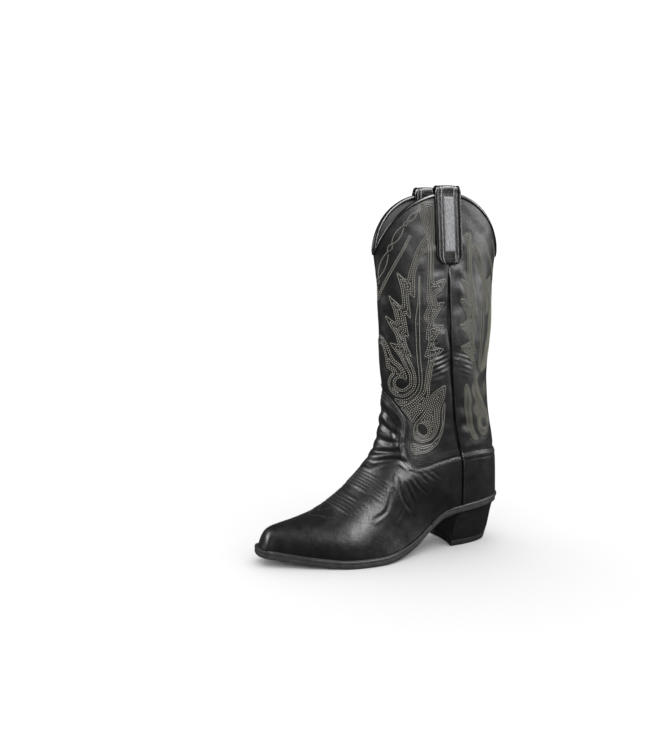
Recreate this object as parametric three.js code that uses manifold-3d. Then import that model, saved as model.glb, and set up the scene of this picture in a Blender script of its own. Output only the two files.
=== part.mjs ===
// Pointed western riding boot for the left foot, as an assembly of its separate pieces.
// Millimetres, +Z up, the toe points along -Y and the outer (lateral) side of the foot is +X.
// Outlines are written in the boot's own plan: `fore` runs forward from the back of the heel,
// `up` is the height above the ground and `out` is the distance from the boot's middle plane.

import * as THREE from 'three';
import { mergeVertices } from 'three/addons/utils/BufferGeometryUtils.js';
import Module from 'manifold-3d';

const wasm = await Module();
wasm.setup();

// ---------------------------------------------------------------- driving dimensions

// Side seam from the topline to the heel seat: [fore, up, half width of the boot].
const SIDE_SEAM = [
  [71, 370.5, 24.5], [69.5, 313, 28], [68, 250, 31], [65, 192, 32.5],
  [60, 140, 32.2], [50.5, 93, 31], [48, 47.5, 28.5],
];
// Front edge of the side view, level with the seam rows and then with the feather rows: [fore, up].
const FRONT_PROFILE = [
  [141, 312], [136, 278], [133.3, 236], [131, 193], [127.8, 160], [130, 134], [136.5, 109],
  [149, 90.5], [164, 75], [182.5, 58.5], [202.5, 46], [223.5, 40], [240, 37.5],
  [251.5, 35], [256.8, 31], [259.8, 24.5], [263.3, 16],
];
// Back edge of the side view, level with the seam rows: [fore, up].
const BACK_PROFILE = [
  [0, 309], [4, 275], [4.5, 236], [9, 185], [6.5, 145], [-0.5, 97], [-3, 50],
];
// Feather line, where the upper meets the bottom, from the seam to the toe:
// [fore, lateral half width, medial half width].
const FEATHER = [
  [48, 28.5, 28.5], [79, 26.5, 24], [112, 37, 29], [146, 47.5, 36.5], [180, 47, 39.5],
  [211, 35.5, 31.5], [236.5, 22.5, 20.5], [251.5, 14, 13.7], [259, 11.3, 11.2], [262.6, 6, 6],
  [263.3, 0, 0],
];
// How far the wall swells out between the feather line or seam and the crest, row by row.
const SWELL = [0, 0, 0, 0, 0, 4, 11, 15, 9, 4, 2, 1.5, 1, 0.5, 0, 0, 0];
// Underside of the sole along the foot: [fore, up].
const SOLE_PROFILE = [
  [-14, 44], [20, 41.5], [50, 38], [66, 33.5], [76, 27.5], [87, 20], [101, 11.3], [121, 3.8],
  [144, 0.5], [158, 0], [188, 0], [211, 1.8], [238, 5], [270, 10],
];
// How far the sole edge stands out of the feather line: [fore, margin].
const SOLE_MARGIN = [
  [-14, 3], [25, 3.6], [48, 3.2], [66, 1.6], [92, 1.4], [118, 3.2], [145, 5], [275, 5],
];

const SOLE_THICKNESS = 5;
const WELT_THICKNESS = 2.7;
const INSOLE_THICKNESS = 2.5;
const INSOLE_INSET = 4.6;
const GAP = 0.3;
const WELT_TOP = SOLE_THICKNESS + GAP + WELT_THICKNESS;
const FEATHER_RISE = WELT_TOP - 1;

// Leather layers, as depths below (-) or above (+) the shaft's outer face.
const LINING = [-3.1, -1.9];
const SHAFT = [-1.6, 0];
const OVERLAY = [0.3, 2];

const SEAM_ROWS = SIDE_SEAM.length - 1;
const TOE_ROW = FRONT_PROFILE.length - 1;
const ROW_STEP = 0.5;
const COLUMNS = 12;
const CREST_CROWDING = 1.35;
const HEEL_COLUMNS = 9;
const FEATHER_STEPS = 40;
const SEAM_SLOT = 0.7;
// How softly the topline turns at the bottom of its front and back dips.
const DIP_ROUNDING = 0.22;

// Edges of the overlapping leathers in the side view: [fore, up].
const VAMP_EDGE = [
  [45, 101], [60, 99.5], [76, 96.5], [95, 92.5], [107, 93], [113.5, 100], [115, 115],
  [112, 132], [113, 143], [118, 152], [125, 163], [131, 174], [138, 181],
];
// How far the shaft leathers reach under the vamp and the counter.
const UNDERLAP = 9;
const STIFFENER_TOP = 90;
const TOE_BOX_SHORT = 0.35;
// Outward is judged from inside the boot: how far behind a toe row that is, and from which rows on.
const TIP_CENTRE_BACK = 25;
const TIP_ROWS = [10, 12];
const COUNTER_EDGE = [[-20, 101.5], [3, 102], [20, 103.5], [36, 104], [55, 102.5]];

const STRAP = { width: 29, bottom: 300, top: 378.8, thickness: 1.8, inside: 327, sewnTop: 369.7 };
// A lower power makes the arch of the strap's loop squarer.
const ARCH_ROUNDING = 0.28;
const STRAP_OUTER = 0.8;
const STRAP_INNER = -4.5;
const INLAY = { width: 11, bottom: 313, top: 367.5, thickness: 0.8 };
// The binding lies just above the topline: its rows, and its depths over the shaft's outer face.
const BINDING = { rows: [-0.033, -0.018], depths: [-3.3, 0.5] };
// The bead runs from under the pull strap and rises over the thicker leathers below.
const PIPING = { radius: 1.35, top: 297, tail: 0.8, rise: [4.45, 4.75] };

const SOCK = { end: 74, thickness: 1 };
const HEEL = {
  top: { up: 42.2, breast: 53, back: -5, half: 30.4, power: 2.3 },
  bottom: { up: 0, breast: 59.5, back: 7.5, half: 23.8, power: 2.05 },
  cup: 3,
  cap: 6.5,
  lifts: [15, 23.2, 31.4],
};
const SHANK = { from: 24, to: 140, half: 7.5, thickness: 1.4, lift: 0.3, room: 0.3 };
const NAIL = { radius: 1.1, bottom: 0.5, top: 21.5, clearance: 0.35 };
const PEG = { radius: 1.1, clearance: 0.35, rows: [94, 106, 118], inset: 10, inlet: 1.2 };

// ---------------------------------------------------------------- curves

const lerp = THREE.MathUtils.lerp;
const smooth = THREE.MathUtils.smoothstep;

// Smooth curve through equally spaced rows of numbers, at row number u.
function rowAt(rows, u) {
  const i = Math.min(Math.max(Math.floor(u), 0), rows.length - 2);
  const t = u - i;
  const before = rows[Math.max(i - 1, 0)];
  const after = rows[Math.min(i + 2, rows.length - 1)];
  return rows[i].map((a, k) => {
    const b = rows[i + 1][k];
    const slopeA = i > 0 ? (b - before[k]) / 2 : b - a;
    const slopeB = i + 2 < rows.length ? (after[k] - a) / 2 : b - a;
    return hermite(a, b, slopeA, slopeB, t);
  });
}

function hermite(a, b, slopeA, slopeB, t) {
  const t2 = t * t;
  const t3 = t2 * t;
  return a * (2 * t3 - 3 * t2 + 1) + b * (3 * t2 - 2 * t3) + slopeA * (t3 - 2 * t2 + t)
    + slopeB * (t3 - t2);
}

// Smooth height over a table of [place, height] pairs.
function heightAt(table, x) {
  let i = table.findIndex(([place]) => place > x) - 1;
  if (i < 0) i = x < table[0][0] ? 0 : table.length - 2;
  const slope = (k) => {
    const a = table[Math.max(k - 1, 0)];
    const b = table[Math.min(k + 1, table.length - 1)];
    return (b[1] - a[1]) / (b[0] - a[0]);
  };
  const [x0, y0] = table[i];
  const [x1, y1] = table[i + 1];
  const t = THREE.MathUtils.clamp((x - x0) / (x1 - x0), 0, 1);
  return hermite(y0, y1, slope(i) * (x1 - x0), slope(i + 1) * (x1 - x0), t);
}

const soleAt = (fore) => Math.max(heightAt(SOLE_PROFILE, fore), 0);
const place = (out, fore, up) => new THREE.Vector3(out, -fore, up);

function range(from, to, count) {
  return Array.from({ length: count + 1 }, (_, i) => from + (to - from) * i / count);
}

// ---------------------------------------------------------------- the boot's outer surface

// Point of the upper: the edge row point, the crest row point, and the angle between them.
function rib(half, edge, crest, angle, side, drop, swell, power) {
  const bulge = Math.sin(2 * angle);
  const out = half * Math.cos(angle) ** (2 / power) + swell * bulge * bulge;
  const fore = lerp(edge[0], crest[0], Math.sin(angle));
  const up = lerp(edge[1], crest[1], drop);
  return place(side * out, fore, up);
}

// The topline hangs in a scallop; further down the rows straighten out.
function scallop(angle, u) {
  const high = Math.hypot(1, DIP_ROUNDING);
  const hung = (high - Math.hypot(Math.cos(angle), DIP_ROUNDING)) / (high - DIP_ROUNDING);
  return lerp(hung, Math.sin(angle), smooth(u, 0.3, 3));
}

function front(u, a) {
  const angle = (1 - Math.abs(a)) * Math.PI / 2;
  const side = a < 0 ? -1 : 1;
  const crest = rowAt(FRONT_PROFILE, u);
  const [swell] = rowAt(SWELL.map((s) => [s]), u);
  const power = 2 + 0.3 * smooth(u, SEAM_ROWS, TOE_ROW - 3);
  if (u <= SEAM_ROWS) {
    const [fore, up, half] = rowAt(SIDE_SEAM, u);
    return rib(half, [fore, up], crest, angle, side, scallop(angle, u), swell, power);
  }
  const [fore, lateral, medial] = rowAt(FEATHER, u - SEAM_ROWS);
  const edge = [fore, soleAt(fore) + FEATHER_RISE];
  const half = side > 0 ? lateral : medial;
  crest[1] = lerp(crest[1], edge[1], smooth(u, TOE_ROW - 1, TOE_ROW));
  return rib(half, edge, crest, angle, side, Math.sin(angle), swell, power);
}

function back(u, a) {
  const angle = (1 - Math.abs(a)) * Math.PI / 2;
  const side = a < 0 ? -1 : 1;
  const [fore, up, half] = rowAt(SIDE_SEAM, u);
  const crest = rowAt(BACK_PROFILE, u);
  const power = 2 + 0.25 * smooth(u, 3, SEAM_ROWS);
  return rib(half, [fore, up], crest, angle, side, scallop(angle, u), 0, power);
}

// The surface point moved out along its normal by `depth`.
function offset(surface, u, a, depth) {
  const last = surface === front ? TOE_ROW : SEAM_ROWS;
  const uu = Math.min(Math.max(u, 0.02), last - 0.03);
  const aa = THREE.MathUtils.clamp(a, -0.99, 0.99);
  const alongU = surface(uu + 0.02, aa).sub(surface(uu - 0.02, aa));
  const alongA = surface(uu, aa + 0.01).sub(surface(uu, aa - 0.01));
  const normal = alongU.cross(alongA).normalize();
  const point = surface(u, a);
  const middle = surface(uu, 1).add(surface(uu, -1)).multiplyScalar(0.5);
  if (surface === front) middle.y += TIP_CENTRE_BACK * smooth(uu, TIP_ROWS[0], TIP_ROWS[1]);
  const outward = surface(uu, aa).sub(middle);
  if (normal.dot(outward) < 0) normal.negate();
  if (surface === front && u === TOE_ROW) normal.set(0, -1, 0);
  return point.addScaledVector(normal, depth);
}

// ---------------------------------------------------------------- solids

// A closed triangle mesh as a solid, turned the right way out.
function solidFrom(points, triangles) {
  const geometry = new THREE.BufferGeometry();
  const numbers = points.flatMap((p) => p.toArray());
  geometry.setAttribute('position', new THREE.Float32BufferAttribute(numbers, 3));
  geometry.setIndex(triangles.flat());
  return solidOf(geometry);
}

function solidOf(geometry) {
  geometry.deleteAttribute('normal');
  geometry.deleteAttribute('uv');
  const merged = mergeVertices(geometry, 1e-4);
  const vertices = merged.attributes.position;
  const triangles = [];
  for (let i = 0; i < merged.index.count; i += 3) {
    const [a, b, c] = [0, 1, 2].map((k) => merged.index.getX(i + k));
    if (a !== b && b !== c && c !== a) triangles.push([a, b, c]);
  }
  const corner = (i) => new THREE.Vector3().fromBufferAttribute(vertices, i);
  const volumeOf = ([a, b, c]) => corner(a).dot(corner(b).cross(corner(c)));
  const volume = triangles.reduce((sum, face) => sum + volumeOf(face), 0);
  const turned = volume < 0 ? triangles.map(([a, b, c]) => [a, c, b]) : triangles;
  return new wasm.Manifold(new wasm.Mesh({
    numProp: 3,
    vertProperties: new Float32Array(vertices.array),
    triVerts: new Uint32Array(turned.flat()),
  }));
}

// A shell between two depths of a surface.
function shell(surface, rows, columns, depths) {
  const count = rows.length * columns.length;
  const rowOf = (u, depth) => columns.map((a) => offset(surface, u, a, depth));
  const points = depths.flatMap((depth) => rows.flatMap((u) => rowOf(u, depth)));
  const at = (layer, i, j) => layer * count + i * columns.length + j;
  const triangles = [];
  const quad = (a, b, c, d) => triangles.push([a, b, c], [a, c, d]);
  const lastRow = rows.length - 1;
  const lastColumn = columns.length - 1;
  for (let i = 0; i < lastRow; i += 1) {
    for (let j = 0; j < lastColumn; j += 1) {
      quad(at(1, i, j), at(1, i, j + 1), at(1, i + 1, j + 1), at(1, i + 1, j));
      quad(at(0, i, j), at(0, i + 1, j), at(0, i + 1, j + 1), at(0, i, j + 1));
    }
    quad(at(0, i, 0), at(1, i, 0), at(1, i + 1, 0), at(0, i + 1, 0));
    quad(at(1, i, lastColumn), at(0, i, lastColumn), at(0, i + 1, lastColumn), at(1, i + 1, lastColumn));
  }
  for (let j = 0; j < lastColumn; j += 1) {
    quad(at(1, 0, j), at(0, 0, j), at(0, 0, j + 1), at(1, 0, j + 1));
    quad(at(0, lastRow, j), at(1, lastRow, j), at(1, lastRow, j + 1), at(0, lastRow, j + 1));
  }
  return solidFrom(points, triangles);
}

const asOutline = (pairs) => pairs.map(([x, y]) => new THREE.Vector2(x, y));

// Rings of equal length joined into a solid with flat ends; `flat` gives a ring's 2-D outline.
function loft(rings, flat) {
  const n = rings[0].length;
  const triangles = [];
  for (let i = 0; i + 1 < rings.length; i += 1) {
    for (let j = 0; j < n; j += 1) {
      const k = (j + 1) % n;
      const [a, b, c, d] = [i * n + j, i * n + k, (i + 1) * n + k, (i + 1) * n + j];
      triangles.push([a, b, c], [a, c, d]);
    }
  }
  const cap = THREE.ShapeUtils.triangulateShape(flat, []);
  const area = THREE.ShapeUtils.area(flat);
  const first = (rings.length - 1) * n;
  for (const [a, b, c] of cap) {
    const face = area < 0 ? [a, c, b] : [a, b, c];
    triangles.push([face[0], face[2], face[1]], face.map((v) => v + first));
  }
  return solidFrom(rings.flat(), triangles);
}

// A side-view outline run right through the boot from side to side.
function sideBlock(outline) {
  const depth = 240;
  const shape = new THREE.Shape(asOutline(outline));
  const geometry = new THREE.ExtrudeGeometry(shape, { depth, bevelEnabled: false });
  geometry.translate(0, 0, -depth / 2);
  const axes = new THREE.Matrix4().makeBasis(
    new THREE.Vector3(0, -1, 0), new THREE.Vector3(0, 0, 1), new THREE.Vector3(1, 0, 0),
  );
  geometry.applyMatrix4(axes);
  return solidOf(geometry);
}

// ---------------------------------------------------------------- side-view regions

const FAR = 400;

function soleCurve(rise) {
  return range(-30, 290, 64).map((fore) => [fore, soleAt(fore) + rise]);
}

const aboveWelt = sideBlock([...soleCurve(WELT_TOP + GAP), [290, FAR], [-30, FAR]]);

const smoothLine = (points, count) => range(0, points.length - 1, count).map((u) => rowAt(points, u));

// Everything on one side of the vamp's top edge, which `shift` lets reach further forward and down.
function vampRegion(shift, upTo) {
  const edge = smoothLine(VAMP_EDGE, 30).map(([fore, up]) => [fore + shift, up - shift]);
  return sideBlock([[0, edge[0][1]], ...edge, [300, edge.at(-1)[1]], [300, upTo], [0, upTo]]);
}

// Everything on one side of the counter's top edge, up or down as far as `upTo`.
function counterRegion(shift, upTo) {
  const edge = smoothLine(COUNTER_EDGE, 12).map(([fore, up]) => [fore, up + shift]);
  return sideBlock([...edge, [100, edge.at(-1)[1]], [100, upTo], [-60, upTo], [-60, edge[0][1]]]);
}

const foreOf = (from, to) => sideBlock([[from, -20], [to, -20], [to, FAR], [from, FAR]]);
const heightOf = (from, to) => sideBlock([[-60, from], [300, from], [300, to], [-60, to]]);

// ---------------------------------------------------------------- upper pieces

// Columns across a half of the boot, closer together at the crest.
const columnsFor = (slot) => range(-1, 1, COLUMNS).map((x) => (
  Math.sign(x) * Math.abs(x) ** CREST_CROWDING * (1 - slot)));

// Share of a row taken by half the slot that the side seam's piping fills.
const SLOT_SHARE = SEAM_SLOT / 75;

function layer(surface, depths, from, to) {
  const rows = range(from, to, Math.round((to - from) / ROW_STEP));
  return shell(surface, rows, columnsFor(SLOT_SHARE), depths).intersect(aboveWelt);
}

const leather = (color, roughness) => new THREE.MeshStandardMaterial({ color, roughness, metalness: 0 });

const BLACK = 0x16161a;
const boot = new THREE.Group();

function add(name, solid, material) {
  const mesh = solid.getMesh();
  const geometry = new THREE.BufferGeometry();
  geometry.setAttribute('position', new THREE.Float32BufferAttribute(mesh.vertProperties, 3));
  geometry.setIndex(Array.from(mesh.triVerts));
  geometry.computeVertexNormals();
  const piece = new THREE.Mesh(geometry, material);
  piece.name = name;
  boot.add(piece);
}

const shaftFront = layer(front, SHAFT, 0, SEAM_ROWS).intersect(vampRegion(UNDERLAP, FAR));
const shaftBack = layer(back, SHAFT, 0, SEAM_ROWS).intersect(counterRegion(-UNDERLAP, FAR));
const vamp = layer(front, OVERLAY, 3, TOE_ROW).intersect(vampRegion(0, -20));
const heelCounter = layer(back, OVERLAY, 4, SEAM_ROWS).intersect(counterRegion(0, -20));
const stiffener = layer(back, SHAFT, 5, SEAM_ROWS).intersect(heightOf(0, STIFFENER_TOP));
add('shaft_front', shaftFront, leather(BLACK, 0.45));
add('shaft_back', shaftBack, leather(BLACK, 0.45));
add('vamp', vamp, leather(BLACK, 0.4));
add('heel_counter', heelCounter, leather(BLACK, 0.4));
add('lining_front', layer(front, LINING, 0, SEAM_ROWS), leather(0x2a2624, 0.8));
add('lining_back', layer(back, LINING, 0, SEAM_ROWS), leather(0x2a2624, 0.8));
add('vamp_lining', layer(front, LINING, SEAM_ROWS + 0.05, 12), leather(0x8d7a60, 0.85));
add('vamp_interlining', layer(front, SHAFT, 7, 11), leather(0xcfc6b0, 0.9));
add('toe_box', layer(front, SHAFT, 11.1, TOE_ROW - TOE_BOX_SHORT), leather(0x9a7f5c, 0.85));
add('counter_stiffener', stiffener, leather(0x9a7f5c, 0.85));

// ---------------------------------------------------------------- side piping and topline binding

// A bead on a thin tail that stands in the slot between the front and back leathers.
function pipingSection(lift) {
  const half = PIPING.tail / 2;
  const bead = range(-0.38 * Math.PI, 1.38 * Math.PI, 8).map((angle) => [
    PIPING.radius * Math.cos(angle), lift + PIPING.radius * (1 + Math.sin(angle)),
  ]);
  return [[half, SHAFT[0]], ...bead, [-half, SHAFT[0]]];
}

// Row of the side seam at a height.
function seamRow(up) {
  let low = 0;
  let high = SEAM_ROWS;
  for (let i = 0; i < 30; i += 1) {
    const middle = (low + high) / 2;
    if (rowAt(SIDE_SEAM, middle)[1] > up) low = middle;
    else high = middle;
  }
  return low;
}

function sidePiping(side) {
  const rows = range(seamRow(PIPING.top), SEAM_ROWS - 0.02, 18);
  const rings = rows.map((u) => {
    const point = front(u, side);
    const lift = lerp(GAP, OVERLAY[1] + GAP, smooth(u, PIPING.rise[0], PIPING.rise[1]));
    return pipingSection(lift).map(([across, out]) => (
      new THREE.Vector3(point.x + side * out, point.y + across, point.z)));
  });
  return loft(rings, asOutline(pipingSection(0))).intersect(aboveWelt);
}

// The thin leather roll along the topline of one half of the shaft.
function binding(surface) {
  return shell(surface, BINDING.rows, columnsFor(SLOT_SHARE), BINDING.depths);
}

for (const [word, side] of [['lateral', 1], ['medial', -1]]) {
  add(`side_piping_${word}`, sidePiping(side), leather(BLACK, 0.3));
}
add('topline_binding_front', binding(front), leather(BLACK, 0.35));
add('topline_binding_back', binding(back), leather(BLACK, 0.35));

// ---------------------------------------------------------------- pull straps

const seamAt = (up) => rowAt(SIDE_SEAM, seamRow(up));

// A flat leather strip against the wall between two heights, `lift` off the shaft's outer face.
function stripOnWall(side, heights, lift, thickness, widthAt) {
  const rings = heights.map((up) => {
    const [fore, , half] = seamAt(Math.min(up, SIDE_SEAM[0][1]));
    const w = widthAt(up) / 2;
    const [near, far] = [side * (half + lift), side * (half + lift + thickness)];
    const corners = [[near, fore - w], [far, fore - w], [far, fore + w], [near, fore + w]];
    return corners.map(([out, along]) => place(out, along, up));
  });
  return loft(rings, asOutline(rings[0].map((v) => [v.x, v.y])));
}

const roundedEnd = (bottom, width, radius) => (up) => {
  const short = Math.max(0, 1 - (up - bottom) / radius);
  return width * (1 - 0.4 * short * short);
};

// The standing loop: a leather arch from the outer leg over the topline to the inner leg.
function strapLoop(side) {
  const [fore, , half] = seamAt(SIDE_SEAM[0][1]);
  const foot = STRAP.sewnTop + 2.6;
  const outer = half + STRAP_OUTER + STRAP.thickness;
  const inner = half + STRAP_INNER - STRAP.thickness;
  const middle = (outer + inner) / 2;
  const arch = (reach, top) => range(0, Math.PI, 10).map((angle) => [
    middle + reach * Math.sign(Math.cos(angle)) * Math.abs(Math.cos(angle)) ** ARCH_ROUNDING,
    foot + (top - foot) * Math.abs(Math.sin(angle)) ** ARCH_ROUNDING,
  ]);
  const outerArch = arch((outer - inner) / 2, STRAP.top);
  const innerArch = arch((outer - inner) / 2 - STRAP.thickness, STRAP.top - STRAP.thickness);
  const section = [...outerArch, ...innerArch.reverse()];
  const w = STRAP.width / 2 - 0.5;
  const ring = (shift) => section.map(([out, up]) => place(side * out, fore + shift, up));
  return loft([ring(-w), ring(w)], asOutline(section.map(([out, up]) => [side * out, up])));
}

for (const [word, side] of [['lateral', 1], ['medial', -1]]) {
  const outerHeights = [0, 2, 5, 9, 20, 45].map((d) => STRAP.bottom + d).concat(STRAP.sewnTop);
  const innerHeights = [0, 3, 8, 22].map((d) => STRAP.inside + d).concat(STRAP.sewnTop);
  const outerWidth = roundedEnd(STRAP.bottom, STRAP.width, 9);
  const innerWidth = roundedEnd(STRAP.inside, STRAP.width, 8);
  const inner = STRAP_INNER - STRAP.thickness;
  const outerLeg = stripOnWall(side, outerHeights, STRAP_OUTER, STRAP.thickness, outerWidth);
  const innerLeg = stripOnWall(side, innerHeights, inner, STRAP.thickness, innerWidth);
  add(`pull_strap_${word}_outer`, outerLeg, leather(BLACK, 0.35));
  add(`pull_strap_${word}_inner`, innerLeg, leather(BLACK, 0.4));
  add(`pull_strap_${word}_loop`, strapLoop(side), leather(BLACK, 0.35));
  const inlayHeights = range(INLAY.bottom, INLAY.top, 2);
  const inlayLift = STRAP_OUTER + STRAP.thickness + GAP;
  const inlay = stripOnWall(side, inlayHeights, inlayLift, INLAY.thickness, () => INLAY.width);
  add(`pull_strap_${word}_inlay`, inlay, leather(0x8b8b8e, 0.6));
}

// ---------------------------------------------------------------- bottom

// Plan of one side of the feather line from the heel's middle to the toe: [out, fore] points.
function featherSide(side) {
  const heel = range(0, 1, HEEL_COLUMNS).slice(0, -1).map((a) => back(SEAM_ROWS, side * a));
  const rows = range(SEAM_ROWS, TOE_ROW, FEATHER_STEPS).map((u) => front(u, side));
  return [...heel, ...rows].map((p) => [Math.abs(p.x), -p.y]);
}

// The plan moved outward by a margin that may change along the foot.
function planSide(side, marginAt) {
  const line = featherSide(side);
  return line.map(([out, fore], i) => {
    const [a, b] = [line[Math.max(i - 1, 0)], line[Math.min(i + 1, line.length - 1)]];
    const along = new THREE.Vector2(b[0] - a[0], b[1] - a[1]).normalize();
    if (i === 0) along.set(1, 0);
    if (i === line.length - 1) along.set(-1, 0);
    const margin = marginAt(fore);
    return [Math.max(out + along.y * margin, 0), fore - along.x * margin];
  });
}

const soleMargin = (fore) => heightAt(SOLE_MARGIN, fore);
const within = (margin) => () => -margin;

// A plate that follows the sole's profile between two rises above it.
function plate(marginAt, low, high) {
  const [lateral, medial] = [planSide(1, marginAt), planSide(-1, marginAt)];
  const rings = lateral.map(([out, fore], i) => {
    const [outM, foreM] = medial[i];
    return [
      place(-outM, foreM, soleAt(foreM) + low), place(out, fore, soleAt(fore) + low),
      place(out, fore, soleAt(fore) + high), place(-outM, foreM, soleAt(foreM) + high),
    ];
  });
  const triangles = [];
  const quad = (a, b, c, d) => triangles.push([a, b, c], [a, c, d]);
  for (let i = 0; i + 1 < rings.length; i += 1) {
    for (let k = 0; k < 4; k += 1) {
      const n = (k + 1) % 4;
      quad(4 * i + k, 4 * i + n, 4 * i + 4 + n, 4 * i + 4 + k);
    }
  }
  const last = 4 * (rings.length - 1);
  quad(3, 2, 1, 0);
  quad(last, last + 1, last + 2, last + 3);
  return solidFrom(rings.flat(), triangles);
}

// A strip that runs along the edge of the bottom, between two margins.
function edgeStrip(outerAt, innerAt, low, high, keep) {
  const ring = ([out, fore], [outI, foreI], side) => [
    place(side * out, fore, soleAt(fore) + low), place(side * out, fore, soleAt(fore) + high),
    place(side * outI, foreI, soleAt(foreI) + high), place(side * outI, foreI, soleAt(foreI) + low),
  ];
  const sideRings = (side) => {
    const [outer, inner] = [planSide(side, outerAt), planSide(side, innerAt)];
    const fores = featherSide(side).map((point) => point[1]);
    return outer.map((point, i) => ring(point, inner[i], side)).filter((_, i) => keep(fores[i]));
  };
  const lateral = sideRings(1);
  const medial = sideRings(-1);
  const joined = keep(TOE_FORE) ? [...lateral, ...medial.slice(0, -1).reverse()]
    : [...medial.slice(1).reverse(), ...lateral];
  return loft(joined, asOutline([[0, 0], [0, 1], [1, 1], [1, 0]]));
}

const TOE_FORE = FEATHER.at(-1)[0];
const WELT_START = 84;
const BED = [SOLE_THICKNESS + GAP, WELT_TOP];
const SOCK_BED = WELT_TOP + GAP + INSOLE_THICKNESS + GAP;
const INNER_EDGE = 5.5;

function rod(radius, out, fore, low, high, sides) {
  const geometry = new THREE.CylinderGeometry(radius, radius, high - low, sides);
  geometry.rotateX(Math.PI / 2);
  geometry.translate(out, -fore, (low + high) / 2);
  return solidOf(geometry);
}

// Wooden pegs through the waist of the sole, in a row on each side.
const pegPlaces = PEG.rows.flatMap((fore) => [1, -1].map((side) => {
  const line = featherSide(side);
  const i = line.findIndex((point, k) => k > HEEL_COLUMNS && point[1] > fore);
  return [side * (line[i][0] - PEG.inset), fore];
}));
const pegHoles = pegPlaces.map(([out, fore]) => rod(PEG.radius + PEG.clearance, out, fore, -5, 60, 8));

let outsole = plate(soleMargin, 0, SOLE_THICKNESS);
for (const hole of pegHoles) outsole = outsole.subtract(hole);
add('outsole', outsole, leather(0x1c1c1e, 0.55));

// The steel shank lies in a channel of the filler, under the arch.
function shankBar(slack) {
  const span = range(SHANK.from - slack, SHANK.to + slack, 16);
  const low = BED[0] + SHANK.lift - slack;
  const high = BED[0] + SHANK.lift + SHANK.thickness + slack;
  const underside = span.map((fore) => [fore, soleAt(fore) + low]);
  const topside = span.map((fore) => [fore, soleAt(fore) + high]);
  const bar = sideBlock([...underside, ...topside.reverse()]);
  return bar.intersect(solidOf(new THREE.BoxGeometry(2 * (SHANK.half + slack), 800, 400)));
}

let cork = plate(within(INNER_EDGE + 1), BED[0], BED[1]);
for (const hole of pegHoles) cork = cork.subtract(hole);
const steel = new THREE.MeshStandardMaterial({ color: 0x8d9196, roughness: 0.4, metalness: 1 });
add('shank', shankBar(0), steel);
add('cork_filler', cork.subtract(shankBar(SHANK.room)), leather(0x9c7b52, 0.95));

const inner = within(INNER_EDGE);
const welt = edgeStrip(soleMargin, inner, BED[0], BED[1], (fore) => fore > WELT_START);
const rand = edgeStrip(soleMargin, inner, BED[0], BED[1], (fore) => fore < WELT_START - 3);
const insoleBed = WELT_TOP + GAP;
const insole = plate(within(INSOLE_INSET), insoleBed, insoleBed + INSOLE_THICKNESS);
add('welt', welt, leather(0x1a1a1c, 0.5));
add('heel_rand', rand, leather(0x1a1a1c, 0.5));
add('insole', insole, leather(0xb08a5e, 0.8));
const sock = plate(within(INSOLE_INSET + 0.6), SOCK_BED, SOCK_BED + SOCK.thickness);
add('heel_sock', sock.intersect(foreOf(-30, SOCK.end)), leather(0x3a332c, 0.85));

// ---------------------------------------------------------------- heel

// Plan of the heel block at a height, from the outer breast corner round the back.
function heelRing(upAt, share) {
  const [top, bottom] = [HEEL.top, HEEL.bottom];
  const size = (key) => lerp(bottom[key], top[key], share);
  const arc = range(0, Math.PI, 20).map((angle) => [
    size('half') * Math.sign(Math.cos(angle)) * Math.abs(Math.cos(angle)) ** (2 / size('power')),
    size('breast') - (size('breast') - size('back')) * Math.sin(angle),
  ]);
  const breast = range(-1, 1, 6).slice(1, -1).map((x) => [
    size('half') * x, size('breast') - HEEL.cup * (1 - x * x),
  ]);
  return [...arc, ...breast].map(([out, fore]) => place(out, fore, upAt(fore)));
}

// One slice of the heel between two heights.
function heelSlice(low, high) {
  const top = HEEL.top.up;
  const rings = [heelRing(() => low, low / top)];
  if (high === top) rings.push(heelRing((fore) => soleAt(fore) - GAP, 1));
  else rings.push(heelRing(() => high, high / top));
  return loft(rings, asOutline(rings[0].map((v) => [v.x, v.y])));
}

const nailPlaces = [[0, 19], [12, 29], [-12, 29], [14, 47], [-14, 47]];
const nailHole = ([out, fore]) => (
  rod(NAIL.radius + NAIL.clearance, out, fore, -5, NAIL.top + GAP, 8));
const nailHoles = nailPlaces.map(nailHole);
const drilled = (solid) => nailHoles.reduce((rest, hole) => rest.subtract(hole), solid);
const slices = [0, HEEL.cap, ...HEEL.lifts, HEEL.top.up];
slices.slice(0, -1).forEach((low, i) => {
  const isCap = i === 0;
  const slice = heelSlice(isCap ? 0 : low + GAP, slices[i + 1]);
  const name = isCap ? 'heel_cap' : `heel_lift_${i}`;
  add(name, drilled(slice), leather(isCap ? 0x101012 : 0x17171a, isCap ? 0.7 : 0.35));
});
const brass = new THREE.MeshStandardMaterial({ color: 0xb08d3c, roughness: 0.35, metalness: 1 });
nailPlaces.forEach(([out, fore], i) => {
  add(`heel_nail_${i + 1}`, rod(NAIL.radius, out, fore, NAIL.bottom, NAIL.top, 8), brass.clone());
});
pegPlaces.forEach(([out, fore], i) => {
  const low = soleAt(fore) + PEG.inlet;
  const peg = rod(PEG.radius, out, fore, low, soleAt(fore) + WELT_TOP - PEG.inlet, 8);
  add(`sole_peg_${i + 1}`, peg, leather(0xc9a66b, 0.8));
});

// The frame's origin is under the middle of the boot, on the ground.
const box = new THREE.Box3().setFromObject(boot);
const middle = box.getCenter(new THREE.Vector3());
boot.position.set(-middle.x, -middle.y, -box.min.z);

export default boot;
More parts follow.
